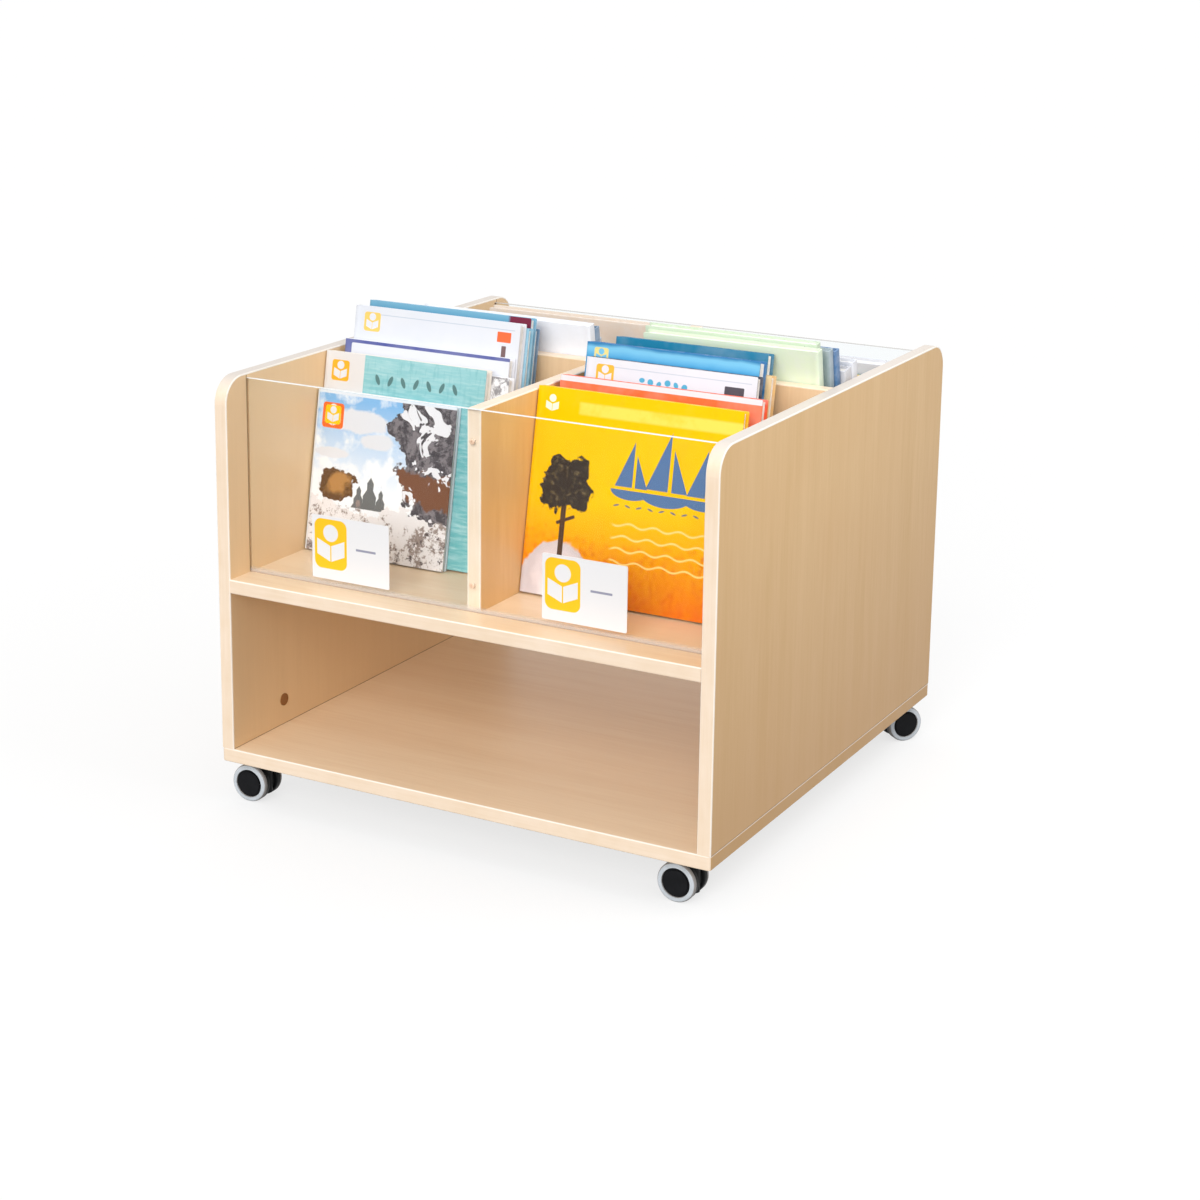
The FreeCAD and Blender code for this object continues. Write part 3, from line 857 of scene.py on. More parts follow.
def sunny_boats(p: Cover) -> None:
    """A yellow sky that turns to an orange sea, blue boats on the right and a dark tree on a pale isle.

    Args:
        p: The cover.
    """
    w, h = p.w, p.h
    wash = p.noise(p.own, 18.0, 4.0, 0.65)
    p.colour = p.mix(p.span(p.up, h * 0.02, h * 0.50), "e4700e", "fac802")
    p.lay(p.span(wash, 0.48, 0.75, 0.0, 0.45), "f6b004")
    fleck = p.noise(p.own, 140.0, 5.0, 0.75)
    p.lay(p.hill(h * 0.30, 0.006, 0.2, 0.0, 0.08) * p.span(fleck, 0.5, 0.62, 0.0, 0.55), "d6560a")
    strip = p.panel((w * 0.22, h - 0.028), (w * 1.1, h - 0.016), 0.0, 0.003)
    p.lay(strip * p.span(wash, 0.3, 0.5, 0.35, 1.0), "ffe05c")
    for left, size in ((0.50, 0.058), (0.67, 0.074), (0.85, 0.060)):
        p.lay(p.boat((w * left, h * 0.56), size), "5878a4")
    for dash in range(9):
        middle = (w * (0.44 + 0.055 * dash), h * 0.485)
        p.lay(p.oval(middle, (0.0042, 0.0012), 18 * (-1) ** dash, 0.1), "787878")
    for step, level in enumerate((0.40, 0.34, 0.28, 0.22)):
        upper, lower = (p.hill(h * level - drop, 0.0022, 0.034, step * 1.3) for drop in (0.0, 0.0022))
        p.lay(p.span(p.across, w * 0.42, w * 0.44) * (upper - lower), "ffd880")
    p.lay(p.blot((0.18, 0.03), (0.19, 0.24), 0, 0.02, 0.25), "d0c8ce")
    p.lay(p.blot((0.20, 0.06), (0.12, 0.16), 0, 0.3, 1.0), "ece4e8")
    p.lay(p.block((0.172, 0.20), (0.196, 0.46), 0.001), "523c30")
    p.lay(p.block((0.15, 0.37), (0.245, 0.385), 0.001, 0.0004, 24), "523c30")
    for centre, radii in (((0.13, 0.50), (0.075, 0.085)), ((0.245, 0.51), (0.075, 0.080)),
                          ((0.15, 0.60), (0.070, 0.080)), ((0.225, 0.61), (0.068, 0.075)),
                          ((0.19, 0.53), (0.080, 0.100))):
        p.lay(p.blot(centre, radii, 0, 0.03, 1.6, 60.0), "38322e")
    leaf = p.blot((0.19, 0.55), (0.12, 0.13), 0, 0.1, 1.0)
    p.lay(leaf * p.span(p.noise(p.own, 130.0, 5.0, 0.8), 0.54, 0.6), "706246")
    p.lay(p.reader((0.022, h - 0.020), 0.024), "fcf6e2")


def striped(p: Cover, ground: Colour, band: Colour, share: float) -> None:
    """A cover with one band along its top, as high as a share of the cover."""
    p.colour = p.mix(p.wash(20.0, 0.42, 0.8, 0.25), ground, WHITE)
    p.lay(p.panel((-BLEED, p.h * (1 - share)), (p.w + BLEED, p.h + BLEED)), band)


def lined_white(p: Cover, mark: Colour, sign: Colour, dots: bool) -> None:
    """A white cover with a fine rule and a dark patch near its right edge.

    Args:
        p: The cover.
        mark: The colour of the small marks.
        sign: The sticker's colour.
        dots: True for a row of round marks, False for one square over the patch.
    """
    w, h = p.w, p.h
    p.colour = p.mix(p.wash(12.0, 0.35, 0.8, 0.6), WHITE, "d4dae4")
    p.lay(p.panel((w * 0.16, h - 0.0100), (w * 0.97, h - 0.0092)), "c4ccd8")
    if dots:
        for step in range(6):
            middle = (w * (0.34 + 0.05 * step), h - 0.0215 - 0.0015 * (step % 3))
            p.lay(p.oval(middle, (0.0040, 0.0030 + 0.0012 * (step % 2)), 30 * step, 0.1, 0.3), mark)
        p.lay(p.panel((w * 0.82, h - 0.034), (w * 0.93, h - 0.016), 0.001), "545058")
    else:
        p.lay(p.panel((w * 0.87, h - 0.026), (w * 0.95, h - 0.013), 0.0008), mark)
        p.lay(p.panel((w * 0.90, h - 0.060), (w * 0.925, h - 0.031), 0.0006), "786060")
    p.badge(0.028, 0.020, 0.025, sign)


def painted_sheen_bands(p: Cover, top: Colour, middle: Colour, low: Colour, sign: Colour) -> None:
    """A cover with a painted sheen: a bright band just under a darker top edge.

    Args:
        p: The cover.
        top: The colour of the top edge.
        middle: The painted highlight band's colour.
        low: The colour of the rest.
        sign: The sticker's colour.
    """
    wave = (p.noise(p.own, 12.0, 3.0, 0.6) - 0.5) * 0.010
    under = p.h - p.up - wave
    # Painted sheen: the top edge, then a bright band, then the rest, measured down from the top.
    p.colour = p.mix(p.span(under, 0.001, 0.005), top, middle)
    p.lay(p.span(under, 0.008, 0.020), low)
    p.badge(0.022, 0.016, 0.020, sign, middle)


def hills(p: Cover, sky: Colour, sun: Colour, fields: Sequence[Colour]) -> None:
    """Rolling fields, one behind the other, under a round sun.

    Args:
        p: The cover.
        sky: The sky's colour.
        sun: The sun's colour.
        fields: The fields' colours, from the farthest.
    """
    w, h = p.w, p.h
    p.colour = p.mix(p.span(p.up, h * 0.45, h), WHITE, sky)
    p.lay(p.oval((w * 0.68, h * 0.76), (w * 0.11, w * 0.11), 0, 0.03), sun)
    for number, tone in enumerate(fields):
        slope = p.hill(h * (0.58 - 0.13 * number), 0.012, w * (0.9 - 0.12 * number), 1.7 * number, 0.004)
        furrow = p.noise(p.place(scale=(1.0, 1.0, 4.0)), 40.0 + 12 * number, 4.0, 0.6)
        p.lay(slope, p.mix(p.span(furrow, 0.42, 0.68, 0.0, 0.35), tone, WHITE))
    for foot in (0.16, 0.24, 0.30, 0.80):
        p.lay(p.conifer((w * foot, h * 0.30), h * 0.13, h * 0.035), "3a6854")


def spotted(p: Cover, ground: Colour, inks: Sequence[Colour]) -> None:
    """Round spots in slanting rows.

    Args:
        p: The cover.
        ground: Its colour.
        inks: The spots' colours, used in turn.
    """
    p.colour = p.mix(p.wash(16.0, 0.4, 0.8, 0.3), ground, WHITE)
    for spot in range(16):
        column, row = spot % 4, spot // 4
        across, up = 0.16 + 0.22 * column + 0.03 * (row % 2), 0.15 + 0.22 * row + 0.02 * (column % 2)
        size = 0.012 + 0.005 * ((spot * 7) % 5) / 4
        p.lay(p.oval((p.w * across, p.h * up), (size, size), 0, 0.05, 0.1), inks[spot % len(inks)])


def blue_spine(p: Cover) -> None:
    """A bright blue cover that darkens down, with a dark red corner."""
    p.colour = p.mix(p.span(p.up, p.h - 0.020, p.h), "388ab4", "78acc4")
    p.lay(p.panel((p.w - 0.030, p.h - 0.030), (p.w + BLEED, p.h + BLEED), 0.004, 0.004), "782c42")


def marbled(p: Cover) -> None:
    """White paper with grey marbling at its outer edge.

    Args:
        p: The cover.
    """
    vein = p.noise(p.own, 45.0, 5.0, 0.8, 1.2)
    p.colour = p.mix(p.span(vein, 0.48, 0.56, 0.0, 0.8), "eeeef0", "747074")
    p.lay(p.panel((-BLEED, -BLEED), (p.w * 0.86, p.h + BLEED)), "f4f4f6")


# ---- meshes -------------------------------------------------------------------------------------


def add_object(name: str, data: bpy.types.ID) -> Piece:
    """Adds an object to the scene, at the origin.

    Args:
        name: The object's name.
        data: Its mesh, lamp or camera.

    Returns:
        The object.
    """
    made = bpy.data.objects.new(name, data)
    bpy.context.scene.collection.objects.link(made)
    return made


def new_piece(name: str, bm: bmesh.types.BMesh, materials: Iterable[Material],
              smooth: float | None = None) -> Piece:
    """Turns a mesh in the row frame into a piece.

    Args:
        name: The piece's name.
        bm: The mesh, which is freed.
        materials: Its materials, in slot order.
        smooth: The angle in degrees past which an edge stays sharp, or None for flat faces.

    Returns:
        The object, at the origin.
    """
    mesh = bpy.data.meshes.new(name)
    bm.to_mesh(mesh)
    bm.free()
    for material in materials:
        mesh.materials.append(material)
    if smooth is not None:
        mesh.shade_smooth()
        mesh.set_sharp_from_angle(angle=math.radians(smooth))
    return add_object(name, mesh)


def hand_over(piece: Piece, node: str, body: str) -> None:
    """Lets a piece stand for a frame node and ride on its body.

    Args:
        piece: The piece.
        node: The frame node.
        body: The body.
    """
    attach(piece, body)
    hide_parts(node)
    LOG.info("built %s for %s", piece.name, node)


def revolve(profile: Sequence[Point], place: Matrix, steps: int = 96) -> bmesh.types.BMesh:
    """A closed body of revolution.

    Args:
        profile: (distance along the axis, radius) pairs; a radius of 0 closes an end.
        place: Takes the body's frame, with its axis along X, to the row frame.
        steps: Steps round the axis.

    Returns:
        The mesh, with its faces outwards.
    """
    bm = bmesh.new()
    angles = [2 * math.pi * i / steps for i in range(steps)]
    rings = []
    for along, radius in profile:
        circle = [(along, radius * math.cos(a), radius * math.sin(a)) for a in angles]
        rings.append([bm.verts.new(spot) for spot in (circle if radius else [(along, 0, 0)])])
    closed = profile[0][1] != 0
    pairs = list(zip(rings, rings[1:])) + ([(rings[-1], rings[0])] if closed else [])
    for near, far in pairs:
        for i in range(steps):
            j = (i + 1) % steps
            corners = [near[i % len(near)], near[j % len(near)], far[j % len(far)], far[i % len(far)]]
            bm.faces.new(list(dict.fromkeys(corners)))
    bmesh.ops.recalc_face_normals(bm, faces=bm.faces)
    bm.transform(place)
    return bm


def arc(centre: Point, radius: float, start: float, end: float, steps: int = 6) -> list[Point]:
    """Points of an arc in a profile, with angles in degrees from the axis direction."""
    angles = [math.radians(start + (end - start) * i / steps) for i in range(steps + 1)]
    return [(centre[0] + radius * math.cos(a), centre[1] + radius * math.sin(a)) for a in angles]


class Growth(Nodes):
    """A Geometry Nodes tree with named inputs."""

    def __init__(self, name: str, **kinds: tuple[str, ...]) -> None:
        """Starts a tree with a geometry output.

        Args:
            name: The tree's name.
            kinds: The names of its inputs by kind.
        """
        super().__init__(bpy.data.node_groups.new(name, "GeometryNodeTree"))
        sockets = self.tree.interface
        sockets.new_socket("Geometry", in_out="OUTPUT", socket_type="NodeSocketGeometry")
        for kind, names in kinds.items():
            for entry in names:
                sockets.new_socket(entry, in_out="INPUT", socket_type="NodeSocket" + kind)
        self.inputs = self.node("NodeGroupInput")
        self.output = self.node("NodeGroupOutput")

    def entries(self, *names: str) -> list[Term]:
        """The tree's inputs of these names."""
        return [self.out(self.inputs, name) for name in names]

    def vector(self, *values: object) -> Term:
        """A vector of three terms or numbers."""
        return self.out(self.fill(self.node("ShaderNodeCombineXYZ"), *values))

    def raised(self, shape: Node, height: object) -> Node:
        """A shape moved up."""
        return self.node("GeometryNodeTransform", Geometry=shape, Translation=self.vector(0.0, 0.0, height))

    def close(self, instances: Node) -> None:
        """Ends the tree: instances made real, then their material.

        Args:
            instances: The node that places the instances.
        """
        real = self.node("GeometryNodeRealizeInstances", Geometry=instances)
        material = self.out(self.inputs, "Material")
        dressed = self.node("GeometryNodeSetMaterial", Geometry=real, Material=material)
        self.feed(self.output.inputs[0], dressed)

    def grow(self, name: str, place: Matrix, values: dict[str, object]) -> Piece:
        """Runs the tree and returns a plain mesh piece in the row frame.

        Args:
            name: The piece's name.
            place: Takes the tree's frame to the row frame.
            values: Input values by name.

        Returns:
            The piece, with no modifier left.
        """
        host = add_object(name + "_host", bpy.data.meshes.new(name + "_host"))
        modifier = host.modifiers.new("grow", "NODES")
        modifier.node_group = self.tree
        for item in self.tree.interface.items_tree:
            if item.in_out == "INPUT":
                modifier[item.identifier] = values[item.name]
        graph = bpy.context.evaluated_depsgraph_get()
        mesh = bpy.data.meshes.new_from_object(host.evaluated_get(graph), depsgraph=graph)
        bpy.data.objects.remove(host)
        mesh.name = name
        mesh.transform(place)
        return add_object(name, mesh)


def leaf_tree() -> Growth:
    """A block of leaves: thin sheets side by side, each slipped a little.

    Returns:
        The tree.
    """
    t = Growth("book_leaves", Float=("Width", "Height", "Depth", "Slip"), Int=("Leaves", "Seed"),
               Material=("Material",))
    width, height, depth, slip, count, seed = t.entries("Width", "Height", "Depth", "Slip", "Leaves", "Seed")
    pitch = depth / count
    sheet = t.node("GeometryNodeMeshCube", Size=t.vector(width, pitch * 0.93, height))
    line = t.node("GeometryNodeMeshLine", Count=count, Offset=t.vector(0.0, pitch, 0.0),
                  Start_Location=t.vector(0.0, pitch * 0.5, 0.0))
    drift = t.node("FunctionNodeRandomValue", data_type="FLOAT_VECTOR", Seed=seed)
    t.feed(drift.inputs[0], t.vector(slip * -1.0, 0.0, slip * -1.0))
    t.feed(drift.inputs[1], t.vector(0.0, 0.0, 0.0))
    moved = t.node("GeometryNodeSetPosition", Geometry=line, Offset=drift)
    t.close(t.node("GeometryNodeInstanceOnPoints", Points=moved, Instance=sheet))
    return t


def screw_tree() -> Growth:
    """Cross-recessed pan-head screws: a small grid of them, repeated over the points of a wide grid.

    Returns:
        The tree.
    """
    sizes = ("Head Radius", "Head Height", "Shank Radius", "Shank Length")
    levels = [(f"{level} X", f"{level} Y") for level in ("Pitch", "Spacing")]
    counts = [(f"{level} Count X", f"{level} Count Y") for level in ("Pitch", "Spacing")]
    t = Growth("screws", Float=(*sizes, *levels[0], *levels[1]), Int=(*counts[0], *counts[1]),
               Material=("Material",))
    radius, height, shank, length = t.entries(*sizes)
    brow = height * 0.55
    skirt = t.node("GeometryNodeMeshCone", Vertices=28, Radius_Top=radius, Radius_Bottom=radius, Depth=brow)
    crown = t.node("GeometryNodeMeshCone", Vertices=28, Radius_Top=radius * 0.62, Radius_Bottom=radius,
                   Depth=height - brow)
    stem = t.node("GeometryNodeMeshCone", Vertices=20, Radius_Top=shank, Radius_Bottom=shank, Depth=length)
    body = t.node("GeometryNodeMeshBoolean", operation="UNION")
    for part in (skirt, t.raised(crown, brow), t.raised(stem, length * -1.0)):
        t.tree.links.new(part.outputs[0], body.inputs["Mesh 2"])
    recess = t.node("GeometryNodeMeshBoolean", operation="DIFFERENCE", Mesh_1=body)
    arm, slot = radius * 0.92, radius * 0.2
    for sides in ((arm, slot), (slot, arm)):
        blade = t.raised(t.node("GeometryNodeMeshCube", Size=t.vector(*sides, height)), height)
        t.tree.links.new(blade.outputs[0], recess.inputs["Mesh 2"])
    placed = recess
    for level, count in zip(levels, counts):
        (wide, deep), (columns, rows) = t.entries(*level), t.entries(*count)
        grid = t.node("GeometryNodeMeshGrid", Size_X=wide, Size_Y=deep, Vertices_X=columns, Vertices_Y=rows)
        placed = t.node("GeometryNodeInstanceOnPoints", Points=grid, Instance=placed)
    t.close(placed)
    return t


# ---- the bin's boards ---------------------------------------------------------------------------


@dataclass
class Boards:
    """The fixed frame pieces, which keep their shape and get their finish."""

    nodes: dict[str, Piece]
    bands: dict[str, Grain] = field(default_factory=lambda: {
        "side_edge_band_left": Grain.UPRIGHT, "side_edge_band_right": Grain.UPRIGHT,
        "shelf_edge_bands": Grain.ACROSS, "divider_edge_bands": Grain.UPRIGHT,
    })

    def dress(self) -> None:
        """Gives every board, band, card and fixing its finish."""
        self.dress_boards()
        for name, grain in self.bands.items():
            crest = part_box(name)[1].z if name.startswith("side") else None
            self.paint(EdgeBand(name, grain, self.highlit_edges(name), crest=crest).material(), name)
        name = "base_edge_band"
        self.paint(EdgeBand(name, Grain.ACROSS, self.highlit_edges(name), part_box(name)[1].x).material(), name)
        for name in ("label_card_left", "label_card_right"):
            self.paint(LabelPrint(name + "_print", tuple(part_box(name)[0])).material(), name)
        self.paint(Steel("zinc_steel").material(), "divider_screws", "cam_bolts", "caster_kingpins")
        self.paint(Steel("cam_zinc", "b0b0ac", "8c8c88").material(), "cam_locks")
        self.paint(Laminate("dowel_beech", Grain.UPRIGHT, streaks=500.0).material(), "dowels")
        self.paint(Plastic("brown_cap", "96663a", "84562e").material(), "cam_caps")

    def dress_boards(self) -> None:
        """Gives the boards their laminates."""
        inner_side = (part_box("side_panel_right")[0].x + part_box("side_panel_right")[1].x) / 2
        base_top, shelf_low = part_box("base_board")[1].z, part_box("bin_shelf")[0].z
        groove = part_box("rear_acrylic_panel")[1].y
        # Painted shadow lines: where the side panels meet the base, under the shelf, and along the rear clear
        # panel's groove.
        joints = (JointShadow(2, base_top - 0.001, base_top + 0.0007, inside=False),
                  JointShadow(2, shelf_low - 0.001, shelf_low), JointShadow(1, groove, groove + 0.0012, above=shelf_low))
        # The side panels' laminate takes painted light on the inner faces and painted shade low on the outer
        # faces.
        self.paint(Laminate("laminate_sides", Grain.UPRIGHT, inner_side=inner_side, joints=joints).material(),
                   "side_panel_left", "side_panel_right")
        # Paler copies of the side laminate on the dividers, floor and shelf are painted light; the front
        # divider's warmer copy is painted bounce light from the yellow cover beside it.
        for name, grain, pale, deep, warm, rough, boards in (
                ("laminate_dividers_painted_light", Grain.UPRIGHT, "eecfa7", "e4c298", "ecc9a0", (0.46, 0.38),
                 ("cross_divider", "rear_divider")),
                ("laminate_front_divider_painted_bounce", Grain.UPRIGHT, "e6be84", "daae74", "e0b27a", (0.46, 0.38),
                 ("front_divider",)),
                ("laminate_floor_painted_light", Grain.ACROSS, "fde5c4", "f4d8b5", "fadebc", (0.40, 0.34), ("base_board",)),
                ("laminate_shelf_painted_light", Grain.ACROSS, "f6debe", "edd1ae", "f3d7b5", (0.38, 0.28), ("bin_shelf",))):
            self.paint(Laminate(name, grain, pale, deep, warm, rough).material(), *boards)

    @staticmethod
    def highlit_edges(name: str) -> tuple[tuple[int, float], ...]:
        """The edges of a band that get a painted highlight, as axis and place.

        Args:
            name: The band's node.

        Returns:
            The upper edge of a level board's band, or the long edges of an upright one's.
        """
        if name.startswith("divider"):
            return ((0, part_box("front_divider")[1].x),)
        if name.startswith("side"):
            return tuple((0, abs(corner.x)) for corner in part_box(name))
        return ((2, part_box(name)[1].z),)

    def paint(self, material: Material, *names: str) -> None:
        """Puts a material on frame nodes.

        Args:
            material: The material.
            names: The nodes.
        """
        for name in names:
            slots = self.nodes[name].data.materials
            slots.clear()
            slots.append(material)
            LOG.info("dressed %s", name)


@dataclass
class ClearPanel:
    """A clear panel, a hair thinner than its gap so that it touches neither divider nor card."""

    node: str
    nodes: dict[str, Piece]
    clearance: float = 0.00012

    def build(self, clear: Material, edge: Material) -> None:
        """Builds the panel from the frame's own, with its polished edges apart.

        Args:
            clear: The large faces' material.
            edge: The edges' material.
        """
        low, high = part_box(self.node)
        middle = (low.y + high.y) / 2
        bm = bmesh.new()
        bm.from_mesh(self.nodes[self.node].data)
        bmesh.ops.remove_doubles(bm, verts=bm.verts, dist=NEAR)
        bmesh.ops.dissolve_limit(bm, angle_limit=math.radians(1), verts=bm.verts, edges=bm.edges)
        bmesh.ops.triangulate(bm, faces=bm.faces)
        for vert in bm.verts:
            if min(abs(vert.co.y - low.y), abs(vert.co.y - high.y)) < NEAR:
                vert.co.y -= math.copysign(self.clearance, vert.co.y - middle)
        for face in bm.faces:
            face.material_index = int(face.normal.z > 0.5)
        bmesh.ops.recalc_face_normals(bm, faces=bm.faces)
        hand_over(new_piece("clear_" + self.node, bm, (clear, edge)), self.node, "bin")


@dataclass(frozen=True)
class Screws:
    """Pan-head screws standing for one frame node, sizes in metres."""

    name: str
    node: str
    slot: str
    head: Point
    shank: Point
    pitch: Point
    spacing: Point = (0.0, 0.0)

    def build(self, tree: Growth, seat: Vector, tilt: float, metal: Material) -> None:
        """Builds the screws and hands the node over to them.

        Args:
            tree: The tree that makes screws.
            seat: The middle of the face that the heads bear on.
            tilt: The turn in degrees about X that brings the heads' way out from +Z.
            metal: The screws' material.
        """
        place = Matrix.Translation(seat) @ Matrix.Rotation(math.radians(tilt), 4, "X")
        values = {"Head Radius": self.head[0], "Head Height": self.head[1], "Shank Radius": self.shank[0],
                  "Shank Length": self.shank[1], "Material": metal}
        for level, sizes in (("Pitch", self.pitch), ("Spacing", self.spacing)):
            for axis, size in zip("XY", sizes):
                values[f"{level} {axis}"] = size
                values[f"{level} Count {axis}"] = 2 if size else 1
        hand_over(tree.grow(self.name, place, values), self.node, "bin")


@dataclass(frozen=True)
class Fixings:
    """The screws that show: through the clear panels and up through the caster plates."""

    panel_head: Point = (0.0035, 0.0016)
    panel_shank: Point = (0.002, 0.025)
    plate_head: Point = (0.004, 0.0022)
    plate_shank: Point = (0.0019, 0.016)
    plate_pitch: float = 0.032

    def build(self, steel: Material) -> None:
        """Builds both kinds.

        Args:
            steel: The caster screws' material.
        """
        tree = screw_tree()
        painted = Plastic("painted_screw", "f4d6bc", "eac8aa").material()
        low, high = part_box("acrylic_screws")
        head, heights = self.panel_head, high.z - low.z - 2 * self.panel_head[0]
        for side, y, tilt in (("front", low.y + head[1], 90), ("rear", high.y - head[1], -90)):
            Screws(side + "_panel_screws", "acrylic_screws", "fixing_heads", head, self.panel_shank,
                   (0.0, heights)).build(tree, Vector((0, y, (low.z + high.z) / 2)), tilt, painted)
        low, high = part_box("caster_screws")
        head, pitch = self.plate_head, self.plate_pitch
        spacing = (high.x - low.x - pitch - 2 * head[0], high.y - low.y - pitch - 2 * head[0])
        Screws("plate_screws", "caster_screws", "zinc_steel", head, self.plate_shank, (pitch, pitch),
               spacing).build(tree, Vector((0, 0, low.z + head[1])), 180, steel)


# ---- casters ------------------------------------------------------------------------------------


@dataclass
class Caster:
    """A twin-wheel swivel caster: steel plate, nylon hood, wheels and their soft rings."""

    corner: str
    joints: dict[str, dict]
    boards: Boards
    wheel_radius: float = 0.025
    inner_face: float = 0.0083
    outer_face: float = 0.0213
    disc_radius: float = 0.018
    ring_width: float = 0.006
    shade_from: float = 0.0012
    bore: float = 0.00405

    def build(self, nylon: Material, disc: Material, ring: Sequence[Material], steel: Material) -> None:
        """Dresses the frame pieces and builds both wheels.

        Args:
            nylon: The hood's and the treads' material.
            disc: The hub discs' material.
            ring: The soft rings' materials, on their faces and on their shoulders, whose darker tone is
                painted shade.
            steel: The plate's and axle's material.
        """
        self.boards.paint(steel, "caster_plate_" + self.corner, "caster_axle_" + self.corner)
        self.boards.paint(nylon, "caster_hood_" + self.corner)
        for wheel, side in (("a", -1), ("b", 1)):
            joint = self.joints[f"roll_{self.corner}_{wheel}"]
            body, place = joint["child"], self.wheel_place(joint, side)
            label = f"{self.corner}_{wheel}"
            core = new_piece("wheel_" + label, revolve(self.core_profile(), place), (nylon,), 35)
            hand_over(core, "wheel_core_" + label, body)
            cap = new_piece("hub_disc_" + label, revolve(self.disc_profile(), place), (disc,), 35)
            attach(cap, body)
            LOG.info("built %s", cap.name)
            bm = revolve(self.ring_profile(), place)
            # Painted shade: faces on the outer shoulder take the darker ring material.
            for face in bm.faces:
                along = (place.inverted() @ face.calc_center_median()).x
                face.material_index = int(along < self.outer_face - self.shade_from)
            tyre = new_piece("soft_ring_" + label, bm, ring, 50)
            hand_over(tyre, "wheel_ring_" + label, body)

    @staticmethod
    def wheel_place(joint: dict, side: int) -> Matrix:
        """The wheel's frame, with X along the axle and away from the caster's middle.

        Args:
            joint: The wheel's joint.
            side: 1 where the joint's axis points outwards, -1 where it points inwards.

        Returns:
            The frame.
        """
        outward = Vector(joint["axis"]).normalized() * side
        upward = Vector((0, 0, 1))
        turn = Matrix((outward, upward.cross(outward), upward)).transposed().to_4x4()
        return Matrix.Translation(joint["pos_m"]) @ turn

    def core_profile(self) -> list[Point]:
        """The tread and web of a wheel, with its blind axle bore.

        Returns:
            The profile.
        """
        step, radius, fillet = self.outer_face - self.ring_width, self.wheel_radius, 0.0016
        rim = arc((self.inner_face + fillet, radius - fillet), fillet, 180, 90)
        web, seat = self.outer_face - 0.0030, self.disc_radius - 0.0012
        return [(self.inner_face, self.bore), *rim, (step, radius - 0.0001), (step, seat), (web, seat),
                (web, self.bore)]

    def disc_profile(self) -> list[Point]:
        """The hub disc: a shallow dome inside a rounded bead.

        Returns:
            The profile.
        """
        face, radius, bead, sunk = self.outer_face, self.disc_radius, 0.0007, 0.0012
        channel, rear = face - 0.0016, face - 0.0029
        rim = arc((face - sunk - bead, radius - bead), bead, 90, 0, 5)
        groove = [(channel, radius - 0.0018), (channel, radius - 0.0022)]
        dome = arc((face - sunk, radius - 0.0031), 0.0009, 90, 30, 4)
        crown = [(face - 0.0002, (radius - 0.0040) * 0.6), (face - 0.0001, 0.0)]
        back = [(rear, 0.0), (rear, radius)]
        return list(reversed([*back, *rim, *groove, *dome, *crown]))

    def ring_profile(self) -> list[Point]:
        """The soft ring: a raised inner lip, a shallow valley and a round outer shoulder.

        Returns:
            The profile.
        """
        face, radius, gap, curve = self.outer_face, self.wheel_radius, 0.00005, 0.0036
        inner, step = self.disc_radius + gap, face - self.ring_width + gap
        lip = arc((face - 0.0007, inner + 0.0007), 0.0006, 200, 0, 8)
        valley = [(face - 0.00045, inner + 0.0020), (face - 0.0005, inner + 0.0032)]
        shoulder = arc((face - 0.0038, radius - curve), curve, 22, 90, 10)
        return [(step, inner), *lip, *valley, *shoulder, (step, radius)]


# ---- books --------------------------------------------------------------------------------------


